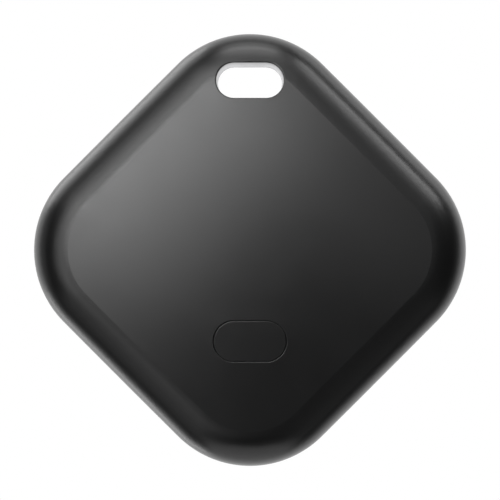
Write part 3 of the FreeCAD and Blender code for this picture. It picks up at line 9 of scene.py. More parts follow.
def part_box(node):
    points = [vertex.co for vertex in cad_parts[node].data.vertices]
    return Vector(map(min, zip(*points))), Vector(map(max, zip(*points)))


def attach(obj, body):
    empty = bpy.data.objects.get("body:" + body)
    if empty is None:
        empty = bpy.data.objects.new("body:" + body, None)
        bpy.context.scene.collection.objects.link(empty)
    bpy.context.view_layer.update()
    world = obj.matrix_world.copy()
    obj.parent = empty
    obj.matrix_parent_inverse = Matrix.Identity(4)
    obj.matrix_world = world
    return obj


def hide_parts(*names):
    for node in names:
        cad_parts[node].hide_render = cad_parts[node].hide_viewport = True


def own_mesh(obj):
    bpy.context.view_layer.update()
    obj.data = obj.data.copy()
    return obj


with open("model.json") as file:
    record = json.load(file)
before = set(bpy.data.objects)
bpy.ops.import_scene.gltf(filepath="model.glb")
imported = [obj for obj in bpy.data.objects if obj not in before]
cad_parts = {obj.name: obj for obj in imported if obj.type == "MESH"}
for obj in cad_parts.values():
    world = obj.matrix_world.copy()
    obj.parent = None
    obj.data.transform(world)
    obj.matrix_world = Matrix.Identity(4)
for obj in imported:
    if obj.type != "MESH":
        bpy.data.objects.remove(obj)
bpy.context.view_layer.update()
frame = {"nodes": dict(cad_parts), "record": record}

MM = 0.001

# ---------------------------------------------------------------- places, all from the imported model
SHELL_LOW, SHELL_HIGH = (Vector(corner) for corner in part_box("front_shell"))
CAN_LOW, CAN_HIGH = (Vector(corner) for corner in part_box("cell_can"))
PIEZO_LOW, PIEZO_HIGH = (Vector(corner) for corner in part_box("buzzer_ceramic"))
LINER_LOW, LINER_HIGH = (Vector(corner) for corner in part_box("slot_liner"))
SCREWS_LOW, SCREWS_HIGH = (Vector(corner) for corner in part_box("frame_screws"))
TAG_CENTRE_Z = (SHELL_LOW.z + SHELL_HIGH.z) / 2
LOWER_TIP_Z = SHELL_LOW.z


# ---------------------------------------------------------------- node helpers
class Graph:
    """Adds and wires the nodes of one tree."""

    def __init__(self, tree):
        self.tree = tree

    def add(self, kind, **settings):
        node = self.tree.nodes.new(kind)
        for name, setting in settings.items():
            setattr(node, name, setting)
        return node

    def feed(self, source, target):
        """Links an output, or sets a plain number, vector or colour."""
        if isinstance(source, bpy.types.NodeSocket):
            self.tree.links.new(source, target)
        else:
            target.default_value = source

    def maths(self, operation, *values, clamp=False):
        node = self.add("ShaderNodeMath", operation=operation, use_clamp=clamp)
        for value, target in zip(values, node.inputs):
            self.feed(value, target)
        return node.outputs[0]

    def vectors(self, operation, *values):
        node = self.add("ShaderNodeVectorMath", operation=operation)
        for value, target in zip(values, node.inputs):
            self.feed(value, target)
        return node.outputs["Value" if operation in ("LENGTH", "DOT_PRODUCT") else "Vector"]

    def scaled(self, vector, factor):
        node = self.add("ShaderNodeVectorMath", operation="SCALE")
        self.feed(vector, node.inputs[0])
        self.feed(factor, node.inputs["Scale"])
        return node.outputs[0]

    def noise(self, place, scale, detail=2.0, roughness=0.5):
        node = self.add("ShaderNodeTexNoise", noise_dimensions="3D")
        for name, value in (("Vector", place), ("Scale", scale), ("Detail", detail),
                            ("Roughness", roughness)):
            self.feed(value, node.inputs[name])
        return node.outputs[0]

    def cells(self, place, scale, feature="F1"):
        node = self.add("ShaderNodeTexVoronoi", voronoi_dimensions="3D", feature=feature)
        self.feed(place, node.inputs["Vector"])
        self.feed(scale, node.inputs["Scale"])
        return node.outputs["Distance"]

    def spread(self, value, from_low, from_high, to_low, to_high):
        node = self.add("ShaderNodeMapRange")
        for name, number in (("Value", value), ("From Min", from_low), ("From Max", from_high),
                             ("To Min", to_low), ("To Max", to_high)):
            self.feed(number, node.inputs[name])
        return node.outputs[0]

    def mixed(self, amount, first, second):
        node = self.add("ShaderNodeMix", data_type="RGBA")
        self.feed(amount, node.inputs[0])
        self.feed(first, node.inputs[6])
        self.feed(second, node.inputs[7])
        return node.outputs[2]

    def object_place(self):
        return self.add("ShaderNodeTexCoord").outputs["Object"]


def new_group(name, inputs, outputs):
    """A shader node group of plain numbers: the group, its graph, and its entry and exit sockets."""
    group = bpy.data.node_groups.new(name, "ShaderNodeTree")
    for label, default in inputs.items():
        item = group.interface.new_socket(name=label, in_out="INPUT", socket_type="NodeSocketFloat")
        item.default_value = default
    for label in outputs:
        group.interface.new_socket(name=label, in_out="OUTPUT", socket_type="NodeSocketFloat")
    graph = Graph(group)
    return group, graph, graph.add("NodeGroupInput").outputs, graph.add("NodeGroupOutput").inputs


def place_group(graph, group, **settings):
    """Places a group with these inputs set, grain_size for the socket Grain size; gives its outputs."""
    node = graph.add("ShaderNodeGroup", node_tree=group)
    for label, setting in settings.items():
        graph.feed(setting, node.inputs[label.replace("_", " ").capitalize()])
    return node.outputs


# ---------------------------------------------------------------- effects shared by the finishes
def make_spark_grain():
    """The fine pitted skin that a spark-eroded mould leaves, with soft shade and gloss changes over it."""
    group, graph, given, made = new_group(
        "spark_grain", {"Grain size": 0.06, "Shade change": 0.12}, ["Shade", "Handling", "Height"])
    flow_scale, drift_scale = 90.0, 420.0
    metres = graph.object_place()
    pits = graph.noise(metres, graph.maths("DIVIDE", 1.0 / MM, given["Grain size"]), 2.0, 0.55)
    flow = graph.noise(metres, flow_scale, 3.0)
    drift = graph.noise(metres, drift_scale, 2.0)
    uneven = graph.maths("SUBTRACT", graph.maths("ADD", flow, pits), 1.0)
    graph.feed(graph.maths("MULTIPLY_ADD", uneven, given["Shade change"], 1.0), made["Shade"])
    graph.feed(graph.spread(graph.maths("ADD", drift, flow), 0.75, 1.25, 0.0, 1.0), made["Handling"])
    graph.feed(pits, made["Height"])
    return group


def make_edge_wear():
    """Where handling has polished an edge: 0 on flat ground, up to 1 along worn edges."""
    group, graph, given, made = new_group(
        "edge_wear", {"Width": 0.15, "Patchiness": 0.5}, ["Wear"])
    least_turn, full_turn = 0.01, 0.16
    patch_scale = 900.0
    softened = graph.add("ShaderNodeBevel", samples=4)
    graph.feed(graph.maths("MULTIPLY", given["Width"], MM), softened.inputs["Radius"])
    surface = graph.add("ShaderNodeNewGeometry").outputs["Normal"]
    turned = graph.maths("SUBTRACT", 1.0, graph.vectors("DOT_PRODUCT", softened.outputs[0], surface))
    edge = graph.spread(turned, least_turn, full_turn, 0.0, 1.0)
    patches = graph.noise(graph.object_place(), patch_scale, 3.0, 0.6)
    kept = graph.spread(patches, 0.35, 0.65, graph.maths("SUBTRACT", 1.0, given["Patchiness"]), 1.0)
    graph.feed(graph.maths("MULTIPLY", edge, kept, clamp=True), made["Wear"])
    return group


def make_fine_scratches():
    """Hair-thin rub marks running two ways over the face."""
    group, graph, given, made = new_group(
        "fine_scratches", {"Length": 4.0, "Amount": 0.3}, ["Mark"])
    metres = graph.object_place()
    across = 9.0 / MM
    marks = []
    for angle, salt in ((0.5, 0.0), (2.3, 7.0)):
        turn = graph.add("ShaderNodeMapping")
        graph.feed(metres, turn.inputs["Vector"])
        turn.inputs["Location"].default_value = (salt * MM, 0, 0)
        turn.inputs["Rotation"].default_value = (0, angle, 0)
        stretch = graph.add("ShaderNodeCombineXYZ")
        graph.feed(graph.maths("DIVIDE", 1.0 / MM, given["Length"]), stretch.inputs[0])
        graph.feed(across, stretch.inputs[1])
        graph.feed(across, stretch.inputs[2])
        lines = graph.noise(graph.vectors("MULTIPLY", turn.outputs[0], stretch.outputs[0]), 1.0, 1.0)
        marks.append(graph.spread(lines, 0.66, 0.72, 0.0, 1.0))
    both = graph.maths("MAXIMUM", *marks)
    graph.feed(graph.maths("MULTIPLY", both, given["Amount"]), made["Mark"])
    return group


def make_rolled_streaks():
    """Long fine streaks left by rolling or brushing, along X."""
    group, graph, given, made = new_group(
        "rolled_streaks", {"Streak size": 0.03, "Tarnish": 0.2}, ["Streak", "Shade", "Height"])
    metres = graph.object_place()
    along_share = 0.02
    cloud_scale = 500.0
    across = graph.maths("DIVIDE", 1.0 / MM, given["Streak size"])
    stretch = graph.add("ShaderNodeCombineXYZ")
    graph.feed(graph.maths("MULTIPLY", across, along_share), stretch.inputs[0])
    graph.feed(across, stretch.inputs[1])
    graph.feed(across, stretch.inputs[2])
    streaks = graph.noise(graph.vectors("MULTIPLY", metres, stretch.outputs[0]), 1.0, 3.0)
    clouds = graph.noise(metres, cloud_scale, 4.0, 0.6)
    graph.feed(streaks, made["Streak"])
    graph.feed(graph.maths("MULTIPLY_ADD", graph.maths("SUBTRACT", clouds, 0.5), given["Tarnish"], 1.0),
               made["Shade"])
    graph.feed(streaks, made["Height"])
    return group


SPARK_GRAIN = make_spark_grain()
EDGE_WEAR = make_edge_wear()
FINE_SCRATCHES = make_fine_scratches()
ROLLED_STREAKS = make_rolled_streaks()


# ---------------------------------------------------------------- finishes
def new_material(name):
    """An empty material with one shader: the material, its graph and the shader node."""
    material = bpy.data.materials.new(name)
    material.use_nodes = True
    material.node_tree.nodes.clear()
    graph = Graph(material.node_tree)
    shader = graph.add("ShaderNodeBsdfPrincipled")
    graph.feed(shader.outputs[0], graph.add("ShaderNodeOutputMaterial").inputs["Surface"])
    return material, graph, shader


def bumped(graph, shader, height, depth):
    """Raises the surface by height, depth millimetres from 0 to 1."""
    bump = graph.add("ShaderNodeBump")
    bump.inputs["Strength"].default_value = 1.0
    bump.inputs["Distance"].default_value = depth * MM
    graph.feed(height, bump.inputs["Height"])
    graph.feed(bump.outputs[0], shader.inputs["Normal"])


def moulded_plastic(name, base, grain_size, roughness, depth, shade_change=0.15, wear=0.3, scratches=0.2,
                    sheen=0.0):
    """Moulded plastic or rubber: spark grain, polished edges and fine rub marks."""
    material, graph, shader = new_material(name)
    grain = place_group(graph, SPARK_GRAIN, grain_size=grain_size, shade_change=shade_change)
    worn = place_group(graph, EDGE_WEAR)["Wear"]
    marks = place_group(graph, FINE_SCRATCHES, amount=scratches)["Mark"]
    rubbed = graph.maths("MULTIPLY_ADD", worn, wear, graph.maths("MULTIPLY", marks, 0.5), clamp=True)
    shaded = graph.scaled((*base,), grain["Shade"])
    lighter = tuple(min(1.0, channel * 1.8 + 0.01) for channel in base)
    graph.feed(graph.mixed(rubbed, shaded, (*lighter, 1.0)), shader.inputs["Base Color"])
    rough = graph.spread(grain["Handling"], 0.0, 1.0, *roughness)
    graph.feed(graph.maths("MULTIPLY_ADD", rubbed, -0.12, rough), shader.inputs["Roughness"])
    flattened = graph.maths("MULTIPLY", rubbed, 0.4)
    bumped(graph, shader, graph.maths("SUBTRACT", grain["Height"], flattened), depth)
    if sheen:
        shader.inputs["Sheen Weight"].default_value = sheen
        shader.inputs["Sheen Roughness"].default_value = 0.5
    return material


def rolled_metal(name, base, streak_size, roughness, tarnish=0.25, wear=0.4, depth=0.002):
    """Sheet or plated metal: rolling streaks, faint tarnish and brighter edges."""
    material, graph, shader = new_material(name)
    streaks = place_group(graph, ROLLED_STREAKS, streak_size=streak_size, tarnish=tarnish)
    worn = graph.maths("MULTIPLY", place_group(graph, EDGE_WEAR)["Wear"], wear)
    shaded = graph.scaled((*base,), streaks["Shade"])
    brighter = tuple(min(1.0, channel * 1.25) for channel in base)
    graph.feed(graph.mixed(worn, shaded, (*brighter, 1.0)), shader.inputs["Base Color"])
    rough = graph.spread(streaks["Streak"], 0.3, 0.7, *roughness)
    graph.feed(graph.maths("MULTIPLY_ADD", worn, -0.08, rough), shader.inputs["Roughness"])
    shader.inputs["Metallic"].default_value = 1.0
    bumped(graph, shader, streaks["Height"], depth)
    return material


def blasted_liner():
    """Bead-blasted metal of the key-ring slot, rubbed brighter along its bore."""
    material, graph, shader = new_material("satin_metal")
    grain = place_group(graph, SPARK_GRAIN, grain_size=0.05, shade_change=0.15)
    worn = graph.maths("MULTIPLY", place_group(graph, EDGE_WEAR)["Wear"], 0.5)
    marks = place_group(graph, FINE_SCRATCHES, length=1.5, amount=0.5)["Mark"]
    rubbed = graph.maths("MAXIMUM", worn, marks)
    shaded = graph.scaled(LINER_METAL, grain["Shade"])
    graph.feed(graph.mixed(rubbed, shaded, (0.75, 0.75, 0.76, 1.0)), shader.inputs["Base Color"])
    rough = graph.spread(grain["Handling"], 0.0, 1.0, *LINER_ROUGHNESS)
    graph.feed(graph.maths("MULTIPLY_ADD", rubbed, -0.1, rough), shader.inputs["Roughness"])
    shader.inputs["Metallic"].default_value = 1.0
    bumped(graph, shader, grain["Height"], 0.004)
    return material


def foam_sheet():
    """Closed-cell foam: small round bubbles with thin walls."""
    material, graph, shader = new_material("foam")
    metres = graph.object_place()
    bubbles = graph.cells(metres, 5.0 / MM)
    clouds = graph.noise(metres, 0.6 / MM, 3.0)
    shade = graph.maths("MULTIPLY_ADD", bubbles, 0.9, graph.spread(clouds, 0.3, 0.7, 0.5, 0.8))
    graph.feed(graph.scaled((0.085, 0.085, 0.09), shade), shader.inputs["Base Color"])
    graph.feed(graph.spread(bubbles, 0.0, 0.8, 0.95, 0.8), shader.inputs["Roughness"])
    bumped(graph, shader, bubbles, 0.04)
    return material


def board_finish():
    """Green solder mask with buried copper: a grid of tracks and runs between cells."""
    material, graph, shader = new_material("board_laminate")
    metres = graph.object_place()
    weave = graph.add("ShaderNodeTexBrick", offset=0.5)
    split = graph.add("ShaderNodeSeparateXYZ")
    graph.feed(metres, split.inputs[0])
    flat = graph.add("ShaderNodeCombineXYZ")
    graph.feed(split.outputs["X"], flat.inputs[0])
    graph.feed(split.outputs["Z"], flat.inputs[1])
    graph.feed(flat.outputs[0], weave.inputs["Vector"])
    for name, value in (("Scale", 0.35 / MM), ("Mortar Size", 0.09), ("Mortar Smooth", 0.2), ("Bias", 0.0),
                        ("Brick Width", 2.4), ("Row Height", 0.42)):
        weave.inputs[name].default_value = value
    tracks = weave.outputs["Fac"]
    crossing = graph.cells(flat.outputs[0], 0.9 / MM, "DISTANCE_TO_EDGE")
    runs = graph.maths("LESS_THAN", crossing, 0.05)
    copper = graph.maths("MAXIMUM", graph.maths("SUBTRACT", 1.0, tracks), runs, clamp=True)
    clouds = graph.noise(metres, 300.0, 3.0)
    buried = graph.maths("MULTIPLY", copper, 0.7)
    green = graph.mixed(buried, (0.006, 0.055, 0.026, 1.0), (0.02, 0.13, 0.06, 1.0))
    graph.feed(graph.scaled(green, graph.spread(clouds, 0.3, 0.7, 0.85, 1.15)), shader.inputs["Base Color"])
    graph.feed(graph.spread(clouds, 0.3, 0.7, 0.22, 0.36), shader.inputs["Roughness"])
    bumped(graph, shader, copper, 0.02)
    return material


def pressed_can():
    """Nickel-plated pressed steel of the coin cell: turned rings, drawing marks and a little tarnish."""
    material, graph, shader = new_material("nickel_steel")
    middle = (CAN_LOW + CAN_HIGH) / 2
    apart = graph.vectors("SUBTRACT", graph.object_place(), tuple(middle))
    reach = graph.vectors("LENGTH", graph.vectors("MULTIPLY", apart, (1.0, 0.0, 1.0)))
    rings = graph.maths("SINE", graph.maths("MULTIPLY", reach, 42.0 / MM))
    streaks = place_group(graph, ROLLED_STREAKS, streak_size=0.05, tarnish=0.3)
    worn = graph.maths("MULTIPLY", place_group(graph, EDGE_WEAR)["Wear"], 0.4)
    shaded = graph.scaled((0.62, 0.60, 0.56), streaks["Shade"])
    graph.feed(graph.mixed(worn, shaded, (0.8, 0.78, 0.74, 1.0)), shader.inputs["Base Color"])
    rough = graph.spread(rings, -1.0, 1.0, 0.2, 0.3)
    graph.feed(graph.maths("MULTIPLY_ADD", streaks["Streak"], 0.08, rough), shader.inputs["Roughness"])
    shader.inputs["Metallic"].default_value = 1.0
    bumped(graph, shader, graph.maths("MULTIPLY_ADD", rings, 0.5, streaks["Height"]), 0.003)
    return material


def piezo_face():
    """Piezo disc: pale ceramic rim round a fired-on silver electrode."""
    material, graph, shader = new_material("buzzer_ceramic")
    middle = (PIEZO_LOW + PIEZO_HIGH) / 2
    rim = (PIEZO_HIGH.x - PIEZO_LOW.x) / 2
    metres = graph.object_place()
    apart = graph.vectors("SUBTRACT", metres, tuple(middle))
    reach = graph.vectors("LENGTH", graph.vectors("MULTIPLY", apart, (1.0, 0.0, 1.0)))
    ragged = graph.maths("MULTIPLY_ADD", graph.noise(metres, 2.5 / MM, 3.0), 0.25 * MM, reach)
    silver = graph.spread(ragged, rim - 0.55 * MM, rim - 0.45 * MM, 1.0, 0.0)
    screen = graph.noise(metres, 9.0 / MM, 2.0)
    pale = graph.scaled((0.62, 0.58, 0.48), graph.spread(screen, 0.3, 0.7, 0.85, 1.1))
    metal = graph.scaled((0.78, 0.77, 0.74), graph.spread(screen, 0.3, 0.7, 0.8, 1.1))
    graph.feed(graph.mixed(silver, pale, metal), shader.inputs["Base Color"])
    graph.feed(silver, shader.inputs["Metallic"])
    graph.feed(graph.spread(screen, 0.3, 0.7, 0.34, 0.48), shader.inputs["Roughness"])
    bumped(graph, shader, screen, 0.004)
    return material


def powder_pellet():
    """Pressed black powder of the cell's pellet: coarse and fine grains."""
    material, graph, shader = new_material("cell_paste")
    metres = graph.object_place()
    coarse = graph.cells(metres, 6.0 / MM)
    fine = graph.noise(metres, 25.0 / MM, 3.0, 0.7)
    shade = graph.maths("ADD", graph.spread(fine, 0.3, 0.7, 0.5, 1.2), graph.maths("MULTIPLY", coarse, 0.5))
    graph.feed(graph.scaled((0.022, 0.021, 0.02), shade), shader.inputs["Base Color"])
    graph.feed(graph.spread(coarse, 0.0, 0.7, 0.92, 0.7), shader.inputs["Roughness"])
    bumped(graph, shader, graph.maths("ADD", fine, coarse), 0.02)
    return material


def fired_parts():
    """Fired ceramic of the small parts: tan body with darker specks and a glassy skin."""
    material, graph, shader = new_material("part_ceramic")
    metres = graph.object_place()
    specks = graph.noise(metres, 14.0 / MM, 3.0, 0.65)
    clouds = graph.noise(metres, 1.2 / MM, 2.0)
    worn = graph.maths("MULTIPLY", place_group(graph, EDGE_WEAR, width=0.08)["Wear"], 0.4)
    tan = graph.scaled((0.42, 0.31, 0.20), graph.spread(clouds, 0.3, 0.7, 0.8, 1.15))
    speckled = graph.mixed(graph.spread(specks, 0.55, 0.75, 0.0, 0.6), tan, (0.2, 0.13, 0.08, 1.0))
    graph.feed(graph.mixed(worn, speckled, (0.62, 0.52, 0.4, 1.0)), shader.inputs["Base Color"])
    graph.feed(graph.spread(specks, 0.3, 0.7, 0.32, 0.5), shader.inputs["Roughness"])
    bumped(graph, shader, specks, 0.004)
    return material


LINER_METAL = (0.55, 0.55, 0.56)
LINER_ROUGHNESS = (0.36, 0.48)
CASE_BLACK = (0.003, 0.003, 0.0031)
CASE_ROUGHNESS = (0.28, 0.30)

FINISHES = {
    "black_plastic": moulded_plastic("black_plastic", CASE_BLACK, 0.07, CASE_ROUGHNESS, 0.0009,
                                     shade_change=0.12, wear=0.12, scratches=0.06),
    "satin_metal": blasted_liner(),
    "dark_silicone": moulded_plastic("dark_silicone", (0.02, 0.02, 0.022), 0.05, (0.62, 0.74), 0.004,
                                     wear=0.1, scratches=0.1, sheen=0.3),
    "foam": foam_sheet(),
    "grey_plastic": moulded_plastic("grey_plastic", (0.22, 0.23, 0.24), 0.08, (0.42, 0.55), 0.004),
    "board_laminate": board_finish(),
    "screw_steel": rolled_metal("screw_steel", (0.22, 0.22, 0.23), 0.04, (0.26, 0.4), wear=0.8),
    "spring_steel": rolled_metal("spring_steel", (0.60, 0.59, 0.57), 0.03, (0.18, 0.32)),
    "nickel_steel": pressed_can(),
    "cell_paste": powder_pellet(),
    "lithium": rolled_metal("lithium", (0.50, 0.51, 0.54), 0.2, (0.45, 0.65), tarnish=0.7, depth=0.01),
    "gold_spring": rolled_metal("gold_spring", (0.86, 0.62, 0.28), 0.04, (0.2, 0.32), tarnish=0.15),
    "brass": rolled_metal("brass", (0.72, 0.52, 0.22), 0.05, (0.24, 0.4), tarnish=0.35),
    "buzzer_ceramic": piezo_face(),
    "chip_plastic": moulded_plastic("chip_plastic", (0.018, 0.018, 0.02), 0.03, (0.5, 0.62), 0.004,
                                    wear=0.3, scratches=0.0),
    "part_ceramic": fired_parts(),
}

for part in frame["record"]["subparts"]:
    slots = frame["nodes"][part["node"]].data.materials
    if not slots:
        slots.append(None)
    for index in range(len(slots)):
        slots[index] = FINISHES[part["material_slot"]]


# ---------------------------------------------------------------- pieces made by Geometry Nodes
class Shape(Graph):
    """A Geometry Nodes tree with named sizes; its last nodes realise instances and set the material."""

    def __init__(self, name, sizes):
        super().__init__(bpy.data.node_groups.new(name, "GeometryNodeTree"))
        self.tree.is_modifier = True
        self.socket_ids = {}
        self.tree.interface.new_socket(name="Geometry", in_out="INPUT", socket_type="NodeSocketGeometry")
        for label in sizes:
            item = self.tree.interface.new_socket(name=label, in_out="INPUT", socket_type="NodeSocketFloat")
            self.socket_ids[label] = item.identifier
        item = self.tree.interface.new_socket(name="Finish", in_out="INPUT", socket_type="NodeSocketMaterial")
        self.socket_ids["Finish"] = item.identifier
        self.tree.interface.new_socket(name="Geometry", in_out="OUTPUT", socket_type="NodeSocketGeometry")
        self.given = self.add("NodeGroupInput").outputs

    def put(self, kind, inputs, **settings):
        """A node with some inputs set by name or number; gives its outputs."""
        node = self.add(kind, **settings)
        for name, value in inputs.items():
            self.feed(value, node.inputs[name])
        return node.outputs

    def point(self, x=0.0, y=0.0, z=0.0):
        return self.put("ShaderNodeCombineXYZ", {0: x, 1: y, 2: z})[0]

    def moved(self, geometry, **changes):
        inputs = {name.capitalize(): value for name, value in changes.items()}
        return self.put("GeometryNodeTransform", {"Geometry": geometry, **inputs})[0]

    def finish(self, geometry):
        merged = self.put("GeometryNodeRealizeInstances", {"Geometry": geometry})[0]
        coated = self.put("GeometryNodeSetMaterial",
                          {"Geometry": merged, "Material": self.given["Finish"]})[0]
        self.put("NodeGroupOutput", {0: coated})


def shaped(name, shape, sizes, finish, start=((0, 0, 0),)):
    """A plain mesh from the tree's result, with the tree's sizes set to these, in metres."""
    seed_mesh = bpy.data.meshes.new(name + "_start")
    seed_mesh.from_pydata(start, [], [])
    maker = bpy.data.objects.new(name + "_maker", seed_mesh)
    bpy.context.scene.collection.objects.link(maker)
    modifier = maker.modifiers.new(name, "NODES")
    modifier.node_group = shape.tree
    for label, size in sizes.items():
        modifier[shape.socket_ids[label]] = float(size)
    modifier[shape.socket_ids["Finish"]] = finish
    bpy.context.view_layer.update()
    seen = maker.evaluated_get(bpy.context.evaluated_depsgraph_get())
    mesh = bpy.data.meshes.new_from_object(seen)
    mesh.polygons.foreach_set("material_index", [0] * len(mesh.polygons))
    mesh.materials.clear()
    mesh.materials.append(finish)
    maker.modifiers.clear()
    bpy.data.objects.remove(maker)
    piece = bpy.data.objects.new(name, mesh)
    bpy.context.scene.collection.objects.link(piece)
    return piece


def smooth_below(piece, degrees):
    """Smooth shading, with edges sharper than this left crisp."""
    mesh = piece.data
    mesh.shade_smooth()
    mesh.set_sharp_from_angle(angle=math.radians(degrees))


def slot_sleeve():
    """The liner's wall, a drafted section swept round the slot's stadium outline."""
    shape = Shape("slot_sleeve", ["Length", "Width", "Wall front", "Wall back", "Depth", "Lip", "Front"])
    given = shape.given
    end_steps, lip_steps = 40, 4
    radius = shape.maths("DIVIDE", given["Width"], 2.0)
    box = shape.put("GeometryNodeCurvePrimitiveQuadrilateral",
                    {"Width": given["Length"], "Height": given["Width"]}, mode="RECTANGLE")[0]
    outline = shape.put("GeometryNodeFilletCurve", {"Curve": box, "Radius": radius, "Count": end_steps,
                                                    "Limit Radius": True}, mode="POLY")[0]
    upright = shape.put("GeometryNodeSetCurveNormal", {"Curve": outline}, mode="Z_UP")[0]
    corners = {
        "Point 1": shape.point(0.0, 0.0), "Point 2": shape.point(0.0, given["Depth"]),
        "Point 3": shape.point(shape.maths("MULTIPLY", given["Wall back"], -1.0), given["Depth"]),
        "Point 4": shape.point(shape.maths("MULTIPLY", given["Wall front"], -1.0), 0.0),
    }
    section = shape.put("GeometryNodeCurvePrimitiveQuadrilateral", corners, mode="POINTS")[0]
    eased = shape.put("GeometryNodeFilletCurve", {"Curve": section, "Radius": given["Lip"],
                                                  "Count": lip_steps, "Limit Radius": True}, mode="POLY")[0]
    wall = shape.put("GeometryNodeCurveToMesh", {"Curve": upright, "Profile Curve": eased})[0]
    upright_wall = shape.moved(wall, rotation=(math.radians(90), 0.0, 0.0),
                               translation=shape.point(0.0, given["Front"], 0.0))
    shape.finish(upright_wall)
    return shape


def stepped(shape, mesh, top, rise, scale):
    """Raises the top face by rise and scales it about its middle; gives the mesh and its new top face."""
    grown = shape.add("GeometryNodeExtrudeMesh", mode="FACES")
    shape.feed(mesh, grown.inputs["Mesh"])
    if top is not None:
        shape.feed(top, grown.inputs["Selection"])
    shape.feed(rise, grown.inputs["Offset Scale"])
    grown.inputs["Individual"].default_value = False
    sized = shape.put("GeometryNodeScaleElements", {"Geometry": grown.outputs["Mesh"],
                                                    "Selection": grown.outputs["Top"], "Scale": scale})[0]
    return sized, grown.outputs["Top"]


def cross_head_screw():
    """A pan-head screw with a rolled thread and a cross recess, one on each starting point."""
    shape = Shape("cross_head_screw", ["Head radius", "Head height", "Head edge", "Shank radius", "Length",
                                       "Pitch", "Thread height", "Cross length", "Cross width",
                                       "Cross depth"])
    given = shape.given
    head_sides, edge_steps, shank_sides, turn_steps = 48, 5, 36, 28
    threaded_share, thread_start_share = 0.86, 0.96
    disc = shape.put("GeometryNodeMeshCircle", {"Vertices": head_sides, "Radius": given["Head radius"]},
                     fill_type="NGON")[0]
    straight = shape.maths("SUBTRACT", given["Head height"], given["Head edge"])
    blank, top = stepped(shape, disc, None, straight, 1.0)
    share = shape.maths("DIVIDE", given["Head edge"], given["Head radius"])
    for step in range(1, edge_steps + 1):
        low, high = (math.radians(90 * k / edge_steps) for k in (step - 1, step))
        rise = shape.maths("MULTIPLY", given["Head edge"], math.sin(high) - math.sin(low))
        before = shape.maths("SUBTRACT", 1.0, shape.maths("MULTIPLY", share, 1 - math.cos(low)))
        after = shape.maths("SUBTRACT", 1.0, shape.maths("MULTIPLY", share, 1 - math.cos(high)))
        blank, top = stepped(shape, blank, top, rise, shape.maths("DIVIDE", after, before))
    underside = shape.put("GeometryNodeFlipFaces", {"Mesh": disc})[0]
    both = shape.add("GeometryNodeJoinGeometry")
    for skin in (blank, underside):
        shape.feed(skin, both.inputs[0])
    solid = shape.put("GeometryNodeMergeByDistance", {"Geometry": both.outputs[0], "Distance": 1e-7})[0]
    cuts = []
    cut_height = shape.maths("MULTIPLY", given["Cross depth"], 2.0)
    for sides in (("Cross length", "Cross width"), ("Cross width", "Cross length")):
        size = shape.point(given[sides[0]], given[sides[1]], cut_height)
        bar = shape.put("GeometryNodeMeshCube", {"Size": size})[0]
        cuts.append(shape.moved(bar, translation=shape.point(0.0, 0.0, given["Head height"])))
    head = shape.add("GeometryNodeMeshBoolean", operation="DIFFERENCE", solver="EXACT")
    shape.feed(solid, head.inputs["Mesh 1"])
    for bar in cuts:
        shape.feed(bar, head.inputs["Mesh 2"])
    shank = shape.put("GeometryNodeMeshCylinder", {"Vertices": shank_sides, "Radius": given["Shank radius"],
                                                   "Depth": given["Length"]}, fill_type="NGON")[0]
    sunk = shape.moved(shank, translation=shape.point(0.0, 0.0, shape.maths("DIVIDE", given["Length"], -2.0)))
    threaded = shape.maths("MULTIPLY", given["Length"], threaded_share)
    turns = shape.maths("DIVIDE", threaded, given["Pitch"])
    helix = shape.put("GeometryNodeCurveSpiral", {
        "Resolution": turn_steps, "Rotations": turns, "Start Radius": given["Shank radius"],
        "End Radius": given["Shank radius"], "Height": threaded})[0]
    ridge = shape.put("GeometryNodeCurvePrimitiveCircle", {"Resolution": 3, "Radius": given["Thread height"]},
                      mode="RADIUS")[0]
    thread = shape.put("GeometryNodeCurveToMesh",
                       {"Curve": helix, "Profile Curve": ridge, "Fill Caps": True})[0]
    thread_start = shape.maths("MULTIPLY", given["Length"], -thread_start_share)
    lowered = shape.moved(thread, translation=shape.point(0.0, 0.0, thread_start))
    whole = shape.add("GeometryNodeJoinGeometry")
    for piece in (head.outputs[0], sunk, lowered):
        shape.feed(piece, whole.inputs[0])
    placed = shape.put("GeometryNodeInstanceOnPoints", {
        "Points": given["Geometry"], "Instance": whole.outputs[0],
        "Rotation": (math.radians(-90), 0.0, 0.0)})[0]
    shape.finish(placed)
    return shape


def add_liner():
    """The key-ring slot's metal sleeve, its wall a little thicker at the back than at the front."""
    size = LINER_HIGH - LINER_LOW
    draft = math.radians(1.3)
    wall = 0.34 * MM
    lip = 0.05 * MM
    sizes = {"Length": size.x, "Width": size.z, "Wall front": wall, "Depth": size.y,
             "Wall back": wall + size.y * math.tan(draft), "Lip": lip, "Front": LINER_LOW.y}
    liner = shaped("key_ring_sleeve", slot_sleeve(), sizes, FINISHES["satin_metal"])
    smooth_below(liner, 40)
    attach(liner, "case")
    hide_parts("slot_liner")


def add_screws():
    """Three screws, two beside the tag's middle and one below it, sized from the CAD screws' box."""
    head = SCREWS_HIGH.z - TAG_CENTRE_Z
    reach = SCREWS_HIGH.x - head
    head_height = 0.7 * MM
    seat = SCREWS_HIGH.y - head_height
    places = [(-reach, seat, TAG_CENTRE_Z), (reach, seat, TAG_CENTRE_Z), (0, seat, TAG_CENTRE_Z - reach)]
    sizes = {"Head radius": head, "Head height": head_height, "Head edge": 0.3 * MM,
             "Shank radius": 0.46 * MM, "Length": seat - SCREWS_LOW.y, "Pitch": 0.4 * MM,
             "Thread height": 0.09 * MM,
             "Cross length": 1.3 * MM, "Cross width": 0.3 * MM, "Cross depth": 0.4 * MM}
    screws = shaped("case_screws", cross_head_screw(), sizes, FINISHES["screw_steel"], places)
    smooth_below(screws, 35)
    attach(screws, "case")
    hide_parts("frame_screws")


